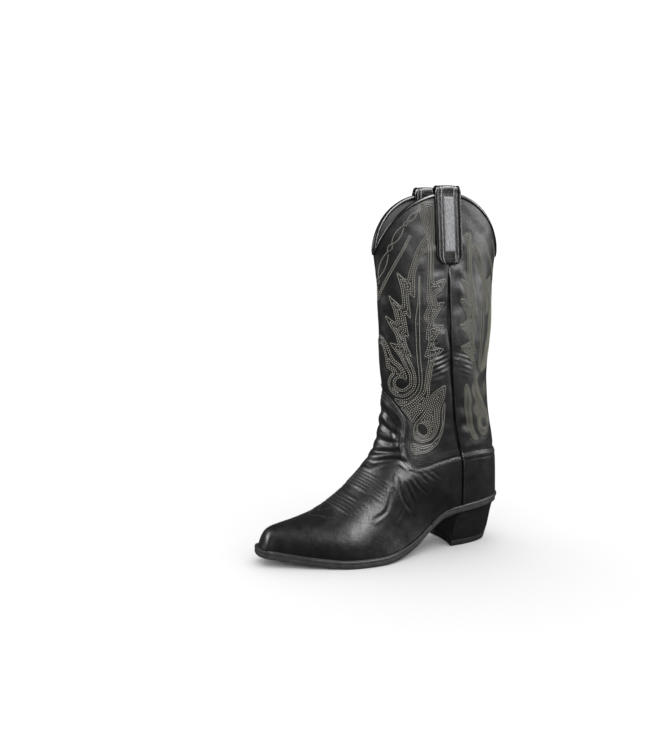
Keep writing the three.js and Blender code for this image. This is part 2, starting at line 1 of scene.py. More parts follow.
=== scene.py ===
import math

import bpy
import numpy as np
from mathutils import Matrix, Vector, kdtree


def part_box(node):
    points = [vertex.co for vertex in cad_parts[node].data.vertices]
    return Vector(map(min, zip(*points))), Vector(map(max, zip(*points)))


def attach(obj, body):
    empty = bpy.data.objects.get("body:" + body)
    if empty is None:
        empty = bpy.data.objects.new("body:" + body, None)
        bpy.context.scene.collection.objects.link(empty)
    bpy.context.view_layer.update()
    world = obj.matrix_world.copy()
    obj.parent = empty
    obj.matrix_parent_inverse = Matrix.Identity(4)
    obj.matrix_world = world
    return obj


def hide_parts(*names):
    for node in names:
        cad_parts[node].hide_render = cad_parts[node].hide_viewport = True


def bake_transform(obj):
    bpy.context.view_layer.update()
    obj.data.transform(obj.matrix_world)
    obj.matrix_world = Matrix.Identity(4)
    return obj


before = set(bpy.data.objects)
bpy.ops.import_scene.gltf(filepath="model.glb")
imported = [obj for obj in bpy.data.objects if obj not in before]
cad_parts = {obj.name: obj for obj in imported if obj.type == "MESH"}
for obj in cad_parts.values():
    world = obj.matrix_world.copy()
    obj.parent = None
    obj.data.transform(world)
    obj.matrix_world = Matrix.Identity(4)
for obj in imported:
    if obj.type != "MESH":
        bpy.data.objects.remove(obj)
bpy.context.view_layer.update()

# Visual model of the cowboy boot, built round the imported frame.
# Outlines are written in the boot's own plan, in millimetres: `fore` runs forward from the back
# of the heel, `up` is the height above the ground and `out` the distance from the middle plane.
# Pieces are made in that plan and moved into the frame, in metres, as the last step.

MM = 0.001


# ---------------------------------------------------------------- driving dimensions

# Side seam from the topline to the heel seat: [fore, up, half width of the boot].
SIDE_SEAM = [
    [71, 370.5, 24.5], [69.5, 313, 28], [68, 250, 31], [65, 192, 32.5],
    [60, 140, 32.2], [50.5, 93, 31], [48, 47.5, 28.5],
]
# Front edge of the side view, level with the seam rows and then the feather rows: [fore, up].
FRONT_PROFILE = [
    [141, 312], [136, 278], [133.3, 236], [131, 193], [127.8, 160], [130, 134], [136.5, 109],
    [149, 90.5], [164, 75], [182.5, 58.5], [202.5, 46], [223.5, 40], [240, 37.5],
    [251.5, 35], [256.8, 31], [259.8, 24.5], [263.3, 16],
]
# Back edge of the side view, level with the seam rows: [fore, up].
BACK_PROFILE = [
    [0, 309], [4, 275], [4.5, 236], [9, 185], [6.5, 145], [-0.5, 97], [-3, 50],
]
# Feather line, where the upper meets the bottom: [fore, lateral half, medial half].
FEATHER = [
    [48, 28.5, 28.5], [79, 26.5, 24], [112, 37, 29], [146, 47.5, 36.5], [180, 47, 39.5],
    [211, 35.5, 31.5], [236.5, 22.5, 20.5], [251.5, 14, 13.7], [259, 11.3, 11.2],
    [262.6, 6, 6], [263.3, 0, 0],
]
# How far the wall swells out between the feather line or seam and the crest, row by row.
SWELL = [[s] for s in (0, 0, 0, 0, 0, 4, 11, 15, 9, 4, 2, 1.5, 1, 0.5, 0, 0, 0)]
# Underside of the sole along the foot: [fore, up].
SOLE_PROFILE = [
    [-14, 44], [20, 41.5], [50, 38], [66, 33.5], [76, 27.5], [87, 20], [101, 11.3], [121, 3.8],
    [144, 0.5], [158, 0], [188, 0], [211, 1.8], [238, 5], [270, 10],
]
# How far the sole edge stands out of the feather line: [fore, margin].
SOLE_MARGIN = [
    [-14, 3], [25, 3.6], [48, 3.2], [66, 1.6], [92, 1.4], [118, 3.2], [145, 5], [275, 5],
]
SEAM_ROWS = len(SIDE_SEAM) - 1
TOE_ROW = len(FRONT_PROFILE) - 1
FEATHER_RISE = 7.0
# How softly the topline turns at the bottom of its front and back dips.
DIP_ROUNDING = 0.22

# Top edges of the vamp and of the heel counter in the side view: [fore, up].
VAMP_EDGE = [
    [45, 101], [60, 99.5], [76, 96.5], [95, 92.5], [107, 93], [113.5, 100], [115, 115],
    [112, 132], [113, 143], [118, 152], [125, 163], [131, 174], [138, 181],
]
COUNTER_EDGE = [[-20, 101.5], [3, 102], [20, 103.5], [36, 104], [55, 102.5]]

STRAP_WIDTH = 29.0
SEAM_TOP_FORE, SEAM_TOP_UP = SIDE_SEAM[0][:2]


# ---------------------------------------------------------------- the frame's own places

def middle_of(node):
    low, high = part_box(node)
    return (low + high) / 2


lateral_loop = middle_of("pull_strap_lateral_loop")
medial_loop = middle_of("pull_strap_medial_loop")
# The plan's origin in the frame: the straps stand either side of the middle plane, on the seam.
PLAN_ORIGIN = np.array([
    (lateral_loop.x + medial_loop.x) / 2,
    (lateral_loop.y + medial_loop.y) / 2 + SEAM_TOP_FORE * MM,
    0.0,
])


def to_frame(points):
    """Plan millimetres to frame metres."""
    return np.asarray(points, float) * MM + PLAN_ORIGIN


# ---------------------------------------------------------------- curves

def hermite(a, b, slope_a, slope_b, t):
    t2, t3 = t * t, t * t * t
    return (a * (2 * t3 - 3 * t2 + 1) + b * (3 * t2 - 2 * t3)
            + slope_a * (t3 - 2 * t2 + t) + slope_b * (t3 - t2))


def row_at(rows, u):
    """Smooth curve through equally spaced rows of numbers, at row numbers u."""
    rows, u = np.asarray(rows, float), np.asarray(u, float)
    i = np.clip(np.floor(u).astype(int), 0, len(rows) - 2)
    slopes = np.gradient(rows, axis=0)
    return hermite(rows[i], rows[i + 1], slopes[i], slopes[i + 1], (u - i)[..., None])


def height_at(table, x):
    """Smooth height over a table of [place, height] pairs."""
    table, x = np.asarray(table, float), np.asarray(x, float)
    place, height = table[:, 0], table[:, 1]
    i = np.clip(np.searchsorted(place, x, side="right") - 1, 0, len(table) - 2)
    before = np.maximum(np.arange(len(table)) - 1, 0)
    after = np.minimum(np.arange(len(table)) + 1, len(table) - 1)
    slope = (height[after] - height[before]) / (place[after] - place[before])
    width = place[i + 1] - place[i]
    t = np.clip((x - place[i]) / width, 0, 1)
    return hermite(height[i], height[i + 1], slope[i] * width, slope[i + 1] * width, t)


def sole_at(fore):
    return np.maximum(height_at(SOLE_PROFILE, fore), 0)


def smooth(x, low, high):
    t = np.clip((x - low) / (high - low), 0, 1)
    return t * t * (3 - 2 * t)


def lerp(a, b, t):
    return a + (b - a) * t


def smooth_line(points, per_span=8):
    """A rounded line through given points."""
    count = (len(points) - 1) * per_span
    return row_at(points, np.linspace(0, len(points) - 1, count + 1))


CORNER_CUT = 0.1


def rounded(points, closed=True, times=2):
    """Corner cutting that takes only the very tips off."""
    line = np.asarray(points, float)
    for _ in range(times):
        ahead = np.roll(line, -1, axis=0) if closed else line[1:]
        here = line if closed else line[:-1]
        cut = np.stack([lerp(here, ahead, CORNER_CUT), lerp(here, ahead, 1 - CORNER_CUT)], 1)
        cut = cut.reshape(-1, 2)
        line = cut if closed else np.vstack([line[:1], cut, line[-1:]])
    return line


# ---------------------------------------------------------------- the boot's outer surface

def rib(half, edge, crest, angle, side, drop, swell, power):
    """Points of a row between its edge, at a seam or the feather line, and its crest."""
    bulge = np.sin(2 * angle) ** 2
    out = half * np.cos(angle) ** (2 / power) + swell * bulge
    fore = lerp(edge[0], crest[0], np.sin(angle))
    up = lerp(edge[1], crest[1], drop)
    return np.stack([side * out, -fore, up], -1)


def scallop(angle, u):
    """The topline hangs in a scallop; further down the rows straighten out."""
    high = math.hypot(1, DIP_ROUNDING)
    hung = (high - np.hypot(np.cos(angle), DIP_ROUNDING)) / (high - DIP_ROUNDING)
    return lerp(hung, np.sin(angle), smooth(u, 0.3, 3))


def angle_and_side(u, a):
    """Turn from the edge towards the crest, and which side of the boot it is on."""
    u, a = np.broadcast_arrays(np.asarray(u, float), np.asarray(a, float))
    return u, (1 - np.abs(a)) * math.pi / 2, np.where(a < 0, -1.0, 1.0)


def front(u, a):
    """Vamp and front of the shaft: row u from the topline, share a from the crest to a seam."""
    u, angle, side = angle_and_side(u, a)
    crest = row_at(FRONT_PROFILE, u)
    swell = row_at(SWELL, u)[..., 0]
    power = 2 + 0.3 * smooth(u, SEAM_ROWS, TOE_ROW - 3)
    seam = row_at(SIDE_SEAM, np.minimum(u, SEAM_ROWS))
    feather = row_at(FEATHER, np.maximum(u - SEAM_ROWS, 0))
    above = u <= SEAM_ROWS
    edge_fore = np.where(above, seam[..., 0], feather[..., 0])
    edge_up = np.where(above, seam[..., 1], sole_at(feather[..., 0]) + FEATHER_RISE)
    wide = np.where(side > 0, feather[..., 1], feather[..., 2])
    half = np.where(above, seam[..., 2], wide)
    crest_up = lerp(crest[..., 1], edge_up, smooth(u, TOE_ROW - 1, TOE_ROW))
    drop = np.where(above, scallop(angle, u), np.sin(angle))
    return rib(half, (edge_fore, edge_up), (crest[..., 0], crest_up), angle, side, drop,
               swell, power)


def back(u, a):
    """Back of the shaft and heel counter."""
    u, angle, side = angle_and_side(u, a)
    seam = row_at(SIDE_SEAM, u)
    crest = row_at(BACK_PROFILE, u)
    power = 2 + 0.25 * smooth(u, 3, SEAM_ROWS)
    return rib(seam[..., 2], (seam[..., 0], seam[..., 1]), (crest[..., 0], crest[..., 1]),
               angle, side, scallop(angle, u), 0.0, power)


# Outward is judged from inside the boot: how far behind a toe row that is, and over which rows
# this sets in.
TIP_CENTRE_BACK = 25.0
TIP_ROWS = (10, 12)
# Over the last part of a row the toe faces straight ahead.
TIP_FACE = 0.35


def normal_of(surface, u, a):
    """Unit normals, pointing out of the boot."""
    last = TOE_ROW if surface is front else SEAM_ROWS
    uu = np.clip(u, 0.02, last - 0.03)
    aa = np.clip(a, -0.99, 0.99)
    along_u = surface(uu + 0.02, aa) - surface(uu - 0.02, aa)
    along_a = surface(uu, aa + 0.01) - surface(uu, aa - 0.01)
    normal = np.cross(along_u, along_a)
    normal /= np.maximum(np.linalg.norm(normal, axis=-1, keepdims=True), 1e-9)
    middle = (surface(uu, np.ones_like(aa)) + surface(uu, -np.ones_like(aa))) / 2
    if surface is front:
        middle[..., 1] += TIP_CENTRE_BACK * smooth(uu, *TIP_ROWS)
    outward = ((surface(uu, aa) - middle) * normal).sum(-1, keepdims=True)
    normal = normal * np.where(outward < 0, -1.0, 1.0)
    if surface is front:
        tip = smooth(u, TOE_ROW - TIP_FACE, TOE_ROW)[..., None]
        normal = lerp(normal, np.array([0, -1.0, 0]), tip)
        normal /= np.linalg.norm(normal, axis=-1, keepdims=True)
    return normal


# ---------------------------------------------------------------- noise

def noise(x, y, size, seed):
    """Smooth value noise from -1 to 1, with features about `size` across."""
    lattice = np.random.RandomState(seed).uniform(-1, 1, (64, 64))
    x, y = np.asarray(x, float) / size, np.asarray(y, float) / size
    i, j = np.floor(x).astype(int), np.floor(y).astype(int)
    s, t = x - i, y - j
    s, t = s * s * (3 - 2 * s), t * t * (3 - 2 * t)
    i, j, k, m = i % 64, j % 64, (i + 1) % 64, (j + 1) % 64
    low = lerp(lattice[i, j], lattice[k, j], s)
    high = lerp(lattice[i, m], lattice[k, m], s)
    return lerp(low, high, t)


# ---------------------------------------------------------------- distances in a plan

def distance_to_line(points, line, closed=False):
    """Distance from each (x, y) point to a polyline."""
    points = np.asarray(points, float)
    line = np.asarray(line, float)
    ends = np.roll(line, -1, axis=0) if closed else line[1:]
    starts = line if closed else line[:-1]
    best = np.full(points.shape[:-1], 1e9)
    for start, end in zip(starts, ends):
        along = end - start
        length = max(float(along @ along), 1e-12)
        t = np.clip(((points - start) @ along) / length, 0, 1)
        gap = points - start - t[..., None] * along
        best = np.minimum(best, np.hypot(gap[..., 0], gap[..., 1]))
    return best


def inside_outline(points, outline):
    """True for each (x, y) point inside a closed outline."""
    x, y = points[..., 0], points[..., 1]
    inside = np.zeros(x.shape, bool)
    for (x0, y0), (x1, y1) in zip(outline, np.roll(outline, -1, axis=0)):
        if y0 == y1:
            continue
        crosses = (y0 > y) != (y1 > y)
        inside ^= crosses & (x < (x1 - x0) * (y - y0) / (y1 - y0) + x0)
    return inside


def depth_inside(points, outline):
    """Distance to a closed outline, positive inside."""
    distance = distance_to_line(points, outline, closed=True)
    return np.where(inside_outline(points, outline), distance, -distance)


# ---------------------------------------------------------------- meshes

def new_piece(name, points, faces, material, replaced=(), body="boot"):
    """A mesh piece from plan points, riding on a body of the frame."""
    mesh = bpy.data.meshes.new(name)
    mesh.from_pydata(to_frame(points).tolist(), [], [list(map(int, f)) for f in faces])
    mesh.validate()
    mesh.polygons.foreach_set("use_smooth", [True] * len(mesh.polygons))
    mesh.materials.append(material)
    piece = bpy.data.objects.new(name, mesh)
    bpy.context.scene.collection.objects.link(piece)
    turn_outward(mesh)
    if replaced:
        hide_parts(*replaced)
    if body:
        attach(piece, body)
    return piece


def turn_outward(mesh):
    """Turns the faces of a closed mesh the right way out, by its volume."""
    count = len(mesh.vertices)
    points = np.empty(count * 3)
    mesh.vertices.foreach_get("co", points)
    points = points.reshape(-1, 3)
    points = points - points.mean(0)
    mesh.calc_loop_triangles()
    corners = np.empty(len(mesh.loop_triangles) * 3, int)
    mesh.loop_triangles.foreach_get("vertices", corners)
    a, b, c = points[corners.reshape(-1, 3)].transpose(1, 0, 2)
    if (a * np.cross(b, c)).sum() < 0:
        mesh.flip_normals()


def sharpen(piece, degrees):
    """Keeps edges sharper than an angle crisp."""
    piece.data.set_sharp_from_angle(angle=math.radians(degrees))


def set_attribute(piece, name, values):
    layer = piece.data.attributes.new(name, "FLOAT", "POINT")
    layer.data.foreach_set("value", np.asarray(values, np.float32))


def boundary_edges(faces):
    """Directed edges that only one face uses."""
    seen = {}
    for face in faces:
        for a, b in zip(face, list(face[1:]) + [face[0]]):
            if (b, a) in seen:
                seen.pop((b, a))
            else:
                seen[(a, b)] = True
    return list(seen)


class Sheet:
    """A patch of one of the boot's surfaces as a grid in (u, a), trimmed by a side-view field."""

    def __init__(self, surface, rows, columns, keep=None):
        self.surface = surface
        self.shape = (len(rows), len(columns))
        grid_u, grid_a = np.meshgrid(rows, columns, indexing="ij")
        self.u, self.a = grid_u.ravel(), grid_a.ravel()
        i, j = np.meshgrid(np.arange(len(rows) - 1), np.arange(len(columns) - 1), indexing="ij")
        corner = (i * len(columns) + j).ravel()
        quads = np.stack([corner, corner + 1, corner + len(columns) + 1, corner + len(columns)], 1)
        if keep is None:
            self.faces = quads.tolist()
            self.used = np.ones(len(self.u), bool)
        else:
            self.trim(quads, keep)
        self.base = surface(self.u, self.a)
        self.normal = normal_of(surface, self.u, self.a)

    def trim(self, quads, keep):
        """Keeps the part where the field is positive, with vertices moved on to its edge."""
        field = lambda: keep(self.surface(self.u, self.a))
        value = field()
        step_u = self.u[self.shape[1]] - self.u[0]
        step_a = np.gradient(self.a.reshape(self.shape), axis=1).ravel()
        for _ in range(2):
            slopes = np.gradient(value.reshape(self.shape))
            slope_u, slope_a = slopes[0].ravel(), slopes[1].ravel()
            steep = np.maximum(slope_u ** 2 + slope_a ** 2, 1e-9)
            close = np.abs(value) < 0.35 * np.sqrt(steep)
            close &= (np.abs(value) > 1e-6)
            self.u = np.where(close, self.u - value * slope_u / steep * step_u, self.u)
            self.a = np.where(close, self.a - value * slope_a / steep * step_a, self.a)
            value = field()
        value = np.where(np.abs(value) < 0.08, 0.0, value)
        u, a = list(self.u), list(self.a)
        made, faces = {}, []
        signs = value[quads]
        inside = (signs >= 0).all(1)
        faces += quads[inside].tolist()
        for quad in quads[~inside & (signs > 0).any(1)]:
            face = []
            for here, after in zip(quad, np.roll(quad, -1)):
                if value[here] >= 0:
                    face.append(int(here))
                if value[here] * value[after] < 0:
                    key = (min(here, after), max(here, after))
                    if key not in made:
                        t = value[here] / (value[here] - value[after])
                        made[key] = len(u)
                        u.append(lerp(self.u[here], self.u[after], t))
                        a.append(lerp(self.a[here], self.a[after], t))
                    face.append(made[key])
            if len(face) > 2:
                faces.append(face)
        self.u, self.a = np.array(u), np.array(a)
        self.faces = faces
        self.used = np.zeros(len(u), bool)
        for face in faces:
            self.used[face] = True

    def solid(self, low, high, relief, bulge=0.35):
        """Points and faces of the leather between two depths, with a rounded edge all round."""
        top = self.base + self.normal * (high + relief)[:, None]
        bottom = self.base + self.normal * low
        index = np.cumsum(self.used) - 1
        count = int(self.used.sum())
        points = [top[self.used], bottom[self.used]]
        faces = [[index[v] for v in face] for face in self.faces]
        under = [[index[v] + count for v in reversed(face)] for face in self.faces]
        edges = boundary_edges(self.faces)
        nodes = sorted({v for edge in edges for v in edge})
        order = {v: k for k, v in enumerate(nodes)}
        away = np.zeros((len(nodes), 3))
        for a, b in edges:
            run = top[b] - top[a]
            push = np.cross(run, self.normal[a])
            push /= max(np.linalg.norm(push), 1e-9)
            away[order[a]] += push
            away[order[b]] += push
        away /= np.maximum(np.linalg.norm(away, axis=1, keepdims=True), 1e-9)
        thick = (high + relief - low)[nodes][:, None]
        rings = [[index[v] for v in nodes]]
        offset = 2 * count
        for turn in (30, 90, 150):
            share = (1 - math.cos(math.radians(turn))) / 2
            reach = math.sin(math.radians(turn)) * bulge
            ring = lerp(top[nodes], bottom[nodes], share) + away * thick * reach
            points.append(ring)
            rings.append([offset + k for k in range(len(nodes))])
            offset += len(nodes)
        rings.append([index[v] + count for v in nodes])
        walls = []
        for upper, lower in zip(rings[:-1], rings[1:]):
            for a, b in edges:
                p, q = order[a], order[b]
                walls.append([upper[q], upper[p], lower[p], lower[q]])
        self.top = top
        return np.vstack(points), faces + under + walls


def girth_and_height(sheet, columns):
    """For each grid point, the level distance from the nearest side seam, and the height."""
    base = sheet.base[:sheet.shape[0] * sheet.shape[1]].reshape(*sheet.shape, 3)
    middle = sheet.shape[1] // 2
    step = np.hypot(*(np.diff(base[..., :2], axis=1).transpose(2, 0, 1)))
    along = np.concatenate([np.zeros((len(base), 1)), np.cumsum(step, 1)], 1)
    total = along[:, -1:]
    girth = np.where(np.arange(len(columns)) <= middle, along, total - along)
    return girth, base[..., 2]


def bilinear(field, i, j):
    """Reads a grid field between its points."""
    i = np.clip(i, 0, field.shape[0] - 1.001)
    j = np.clip(j, 0, field.shape[1] - 1.001)
    low_i, low_j = np.floor(i).astype(int), np.floor(j).astype(int)
    s, t = i - low_i, j - low_j
    if field.ndim == 3:
        s, t = s[:, None], t[:, None]
    top = lerp(field[low_i, low_j], field[low_i, low_j + 1], t)
    bottom = lerp(field[low_i + 1, low_j], field[low_i + 1, low_j + 1], t)
    return lerp(top, bottom, s)


def girth_everywhere(sheet, rows, columns, girth):
    """Girth at every point of a sheet: its grid, then the points cut at its edge."""
    cut_u, cut_a = sheet.u[girth.size:], sheet.a[girth.size:]
    i = np.interp(cut_u, rows, np.arange(len(rows)))
    j = np.interp(cut_a, columns, np.arange(len(columns)))
    return np.concatenate([girth.ravel(), bilinear(girth, i, j)])


class Chart:
    """Looks places up on half a sheet by two plan coordinates."""

    def __init__(self, p, q, points, normals):
        self.p, self.q, self.points, self.normals = p, q, points, normals
        self.tree = kdtree.KDTree(p.size)
        for k, (x, y) in enumerate(zip(p.ravel(), q.ravel())):
            self.tree.insert((x, y, 0), k)
        self.tree.balance()
        self.slopes = [np.gradient(field) for field in (p, q)]

    def locate(self, line):
        """Points and normals on the sheet for (p, q) places."""
        line = np.asarray(line, float)
        near = np.array([self.tree.find((x, y, 0))[1] for x, y in line])
        i, j = np.unravel_index(near, self.p.shape)
        i, j = i.astype(float), j.astype(float)
        for _ in range(4):
            miss_p = line[:, 0] - bilinear(self.p, i, j)
            miss_q = line[:, 1] - bilinear(self.q, i, j)
            pi, pj, qi, qj = [bilinear(g, i, j) for pair in self.slopes for g in pair]
            turn = pi * qj - pj * qi
            turn = np.where(np.abs(turn) < 1e-6, 1e-6, turn)
            i = i + np.clip((miss_p * qj - miss_q * pj) / turn, -1.5, 1.5)
            j = j + np.clip((miss_q * pi - miss_p * qi) / turn, -1.5, 1.5)
        normals = bilinear(self.normals, i, j)
        normals /= np.linalg.norm(normals, axis=1, keepdims=True)
        return bilinear(self.points, i, j), normals


# ---------------------------------------------------------------- stitches

STITCH_RINGS = ((-1.0, 0.2, -0.45), (-0.72, 0.85, 0.0), (-0.25, 1.0, 0.16), (0.25, 1.0, 0.16),
                (0.72, 0.85, 0.0), (1.0, 0.2, -0.45))
STITCH_SIDES = 6


def stitch_template():
    """One stitch of unit half length and unit radius, as points and faces."""
    points, faces = [], []
    for along, radius, lift in STITCH_RINGS:
        for k in range(STITCH_SIDES):
            turn = 2 * math.pi * k / STITCH_SIDES
            points.append((along, radius * math.cos(turn), lift + radius * math.sin(turn)))
    for ring in range(len(STITCH_RINGS) - 1):
        for k in range(STITCH_SIDES):
            a, b = ring * STITCH_SIDES + k, ring * STITCH_SIDES + (k + 1) % STITCH_SIDES
            faces.append([a, a + STITCH_SIDES, b + STITCH_SIDES, b])
    last = (len(STITCH_RINGS) - 1) * STITCH_SIDES
    faces.append([k for k in range(STITCH_SIDES)])
    faces.append([last + k for k in reversed(range(STITCH_SIDES))])
    return np.array(points), faces


def resample(line, step, closed=False):
    """Points at even steps along a polyline, and how far apart they came out."""
    line = np.asarray(line, float)
    if closed:
        line = np.vstack([line, line[:1]])
    lengths = np.linalg.norm(np.diff(line, axis=0), axis=1)
    along = np.concatenate([[0], np.cumsum(lengths)])
    count = max(int(round(along[-1] / step)), 1)
    places = np.linspace(0, along[-1], count + 1)
    even = np.stack([np.interp(places, along, line[:, k]) for k in range(line.shape[1])], 1)
    return even, along[-1] / count


class Thread:
    """Collects stitches along lines and makes them into one piece."""

    def __init__(self, pitch, radius, gap):
        self.pitch, self.radius, self.gap = pitch, radius, gap
        self.template, self.template_faces = stitch_template()
        self.points, self.faces, self.count = [], [], 0

    def run(self, points, normals, closed=False):
        """Stitches along a line of surface points."""
        both = np.hstack([points, normals])
        even, step = resample(both, self.pitch, closed)
        starts, ends = even[:-1, :3], even[1:, :3]
        up = even[:-1, 3:] + even[1:, 3:]
        up /= np.linalg.norm(up, axis=1, keepdims=True)
        ahead = ends - starts
        length = np.linalg.norm(ahead, axis=1, keepdims=True)
        kept = length[:, 0] > 0.3 * self.pitch
        starts, ends, up, ahead, length = [v[kept] for v in (starts, ends, up, ahead, length)]
        if not len(starts):
            return
        ahead = ahead / length
        sideways = np.cross(up, ahead)
        sideways /= np.linalg.norm(sideways, axis=1, keepdims=True)
        centre = (starts + ends) / 2 + up * 0.25 * self.radius
        half = (length - self.gap) / 2
        x, y, z = self.template.T
        made = (centre[:, None] + ahead[:, None] * x[:, None] * half[:, None]
                + sideways[:, None] * y[:, None] * self.radius
                + up[:, None] * z[:, None] * self.radius)
        faces = np.arange(len(made)) * len(self.template) + self.count
        for face in self.template_faces:
            self.faces += (faces[:, None] + np.array(face)).tolist()
        self.points.append(made.reshape(-1, 3))
        self.count += made.shape[0] * made.shape[1]

    def piece(self, name, material, slot):
        return new_piece(name, np.vstack(self.points), self.faces, material)


def contour_lines(xs, ys, field, level):
    """Lines along which a grid field equals a level, as lists of (x, y) points."""
    above = field > level
    links = {}

    def crossing(i, j, k, m):
        t = (level - field[i, j]) / (field[k, m] - field[i, j])
        return (lerp(xs[i], xs[k], t), lerp(ys[j], ys[m], t))

    places = {}
    mixed = (above[:-1, :-1] != above[1:, :-1]) | (above[:-1, :-1] != above[:-1, 1:])
    mixed |= above[:-1, :-1] != above[1:, 1:]
    for i, j in zip(*np.nonzero(mixed)):
        ring = [(i, j), (i + 1, j), (i + 1, j + 1), (i, j + 1)]
        cuts = []
        for (a, b), (c, d) in zip(ring, ring[1:] + ring[:1]):
            if above[a, b] != above[c, d]:
                key = (min((a, b), (c, d)), max((a, b), (c, d)))
                places[key] = crossing(*key[0], *key[1])
                cuts.append(key)
        for a, b in zip(cuts[::2], cuts[1::2]):
            links.setdefault(a, []).append(b)
            links.setdefault(b, []).append(a)
    lines = []
    while links:
        ends = [k for k, v in links.items() if len(v) == 1]
        here = ends[0] if ends else next(iter(links))
        line = [here]
        while links.get(here):
            after = links[here].pop()
            links[after].remove(here)
            if not links[here]:
                links.pop(here)
            here = after
            line.append(here)
        links.pop(here, None)
        lines.append((np.array([places[k] for k in line]), line[0] == line[-1]))
    return lines


# ---------------------------------------------------------------- materials

class Look:
    """Builds one procedural material from noise, bumps and the shader's own constants."""

    def __init__(self, name, colour, roughness, metallic=0.0, specular=0.5, coat=0.0):
        self.material = bpy.data.materials.new(name)
        self.material.use_nodes = True
        self.tree = self.material.node_tree
        self.shader = self.tree.nodes["Principled BSDF"]
        self.shader.inputs["Base Color"].default_value = (*colour, 1)
        self.shader.inputs["Roughness"].default_value = roughness
        self.shader.inputs["Metallic"].default_value = metallic
        self.shader.inputs["Specular IOR Level"].default_value = specular
        self.shader.inputs["Coat Weight"].default_value = coat
        self.shader.inputs["Coat Roughness"].default_value = 0.25
        self.place = self.tree.nodes.new("ShaderNodeTexCoord").outputs["Object"]
        self.relief = None

    def node(self, kind, **inputs):
        node = self.tree.nodes.new(kind)
        for key, value in inputs.items():
            self.feed(node.inputs[key.replace("_", " ")], value)
        return node

    def feed(self, socket, value):
        if isinstance(value, bpy.types.NodeSocket):
            self.tree.links.new(value, socket)
        else:
            socket.default_value = value

    def math(self, operation, *values):
        node = self.tree.nodes.new("ShaderNodeMath")
        node.operation = operation
        for socket, value in zip(node.inputs, values):
            self.feed(socket, value)
        return node.outputs[0]

    def noise(self, size, detail=3.0, stretch=None):
        """Noise with features about `size` millimetres across."""
        place = self.place
        if stretch:
            mapping = self.node("ShaderNodeMapping", Vector=place, Scale=stretch)
            place = mapping.outputs[0]
        noise = self.node("ShaderNodeTexNoise", Vector=place, Scale=1000 / size, Detail=detail)
        return noise.outputs["Fac"]

    def cells(self, size):
        cells = self.node("ShaderNodeTexVoronoi", Vector=self.place, Scale=1000 / size)
        cells.feature = "SMOOTH_F1"
        return cells.outputs["Distance"]

    def span(self, value, low, high):
        """Stretches 0.3..0.7 of a value on to low..high."""
        node = self.node("ShaderNodeMapRange", Value=value)
        for key, number in (("From Min", 0.3), ("From Max", 0.7), ("To Min", low), ("To Max", high)):
            node.inputs[key].default_value = number
        return node.outputs[0]

    def bump(self, height, depth, strength=1.0):
        """Adds relief `depth` millimetres deep."""
        node = self.node("ShaderNodeBump", Height=height, Strength=strength, Distance=depth * MM)
        if self.relief:
            self.tree.links.new(self.relief, node.inputs["Normal"])
        self.relief = node.outputs[0]
        self.tree.links.new(self.relief, self.shader.inputs["Normal"])

    def colours(self, factor, first, second):
        mix = self.tree.nodes.new("ShaderNodeMix")
        mix.data_type = "RGBA"
        self.feed(mix.inputs[0], factor)
        mix.inputs[6].default_value = (*first, 1)
        mix.inputs[7].default_value = (*second, 1)
        self.tree.links.new(mix.outputs[2], self.shader.inputs["Base Color"])

    def rough(self, value):
        self.tree.links.new(value, self.shader.inputs["Roughness"])


def leather(name, dark, light, roughness, grain=0.9, depth=0.12, coat=0.0, specular=0.5):
    """Dyed leather: fine grain cells, faint creases and an uneven polish."""
    look = Look(name, dark, sum(roughness) / 2, specular=specular, coat=coat)
    look.colours(look.span(look.noise(14), 0, 1), dark, light)
    look.rough(look.span(look.noise(9, 5), *roughness))
    look.bump(look.noise(3.5, 4), 0.18)
    look.bump(look.cells(grain), depth)
    look.bump(look.noise(0.35, 2), depth * 0.5)
    return look


def quilted_leather():
    """The shaft's leather, pressed in along every row of stitching."""
    look = leather("shaft_leather", (0.004, 0.004, 0.004), (0.008, 0.008, 0.008), (0.34, 0.46),
                   specular=BLACK_GLOSS)
    rows = look.node("ShaderNodeAttribute")
    rows.attribute_name = "rows"
    turn = look.math("MULTIPLY", rows.outputs["Fac"], 2 * math.pi / ROW_SPACING)
    wave = look.math("SINE", look.math("SUBTRACT", turn, 2 * math.pi * FIRST_ROW / ROW_SPACING
                                       + math.pi / 2))
    inside = look.math("GREATER_THAN", rows.outputs["Fac"], 0.0)
    look.bump(look.math("MULTIPLY", wave, inside), 0.16)
    return look.material


def cord_thread(name, colour, shade):
    look = Look(name, colour, 0.62, specular=0.35)
    look.shader.inputs["Sheen Weight"].default_value = 0.25
    look.colours(look.span(look.noise(1.6), 0, 1), shade, colour)
    look.bump(look.noise(0.3, 2, stretch=(1, 1, 3)), 0.06)
    return look.material


def plain(name, dark, light, roughness, size=6.0, depth=0.08, metallic=0.0, fine=0.5,
          specular=0.5):
    """A solid stuff with a mottled colour and a fine tooth."""
    look = Look(name, dark, sum(roughness) / 2, metallic=metallic, specular=specular)
    look.colours(look.span(look.noise(size, 5), 0, 1), dark, light)
    look.rough(look.span(look.noise(size / 2), *roughness))
    look.bump(look.noise(fine, 3), depth)
    return look.material


def inlay_suede():
    look = Look("inlay_suede", (0.22, 0.225, 0.24), 0.6, specular=0.4)
    look.shader.inputs["Sheen Weight"].default_value = 0.2
    look.colours(look.span(look.noise(2.2, 4), 0, 1), (0.12, 0.123, 0.13), (0.27, 0.275, 0.29))
    look.bump(look.cells(1.3), 0.25)
    look.bump(look.noise(0.5, 3), 0.08)
    return look.material


BLACK_GLOSS = 0.34
ROW_SPACING = 1.9
FIRST_ROW = 0.5

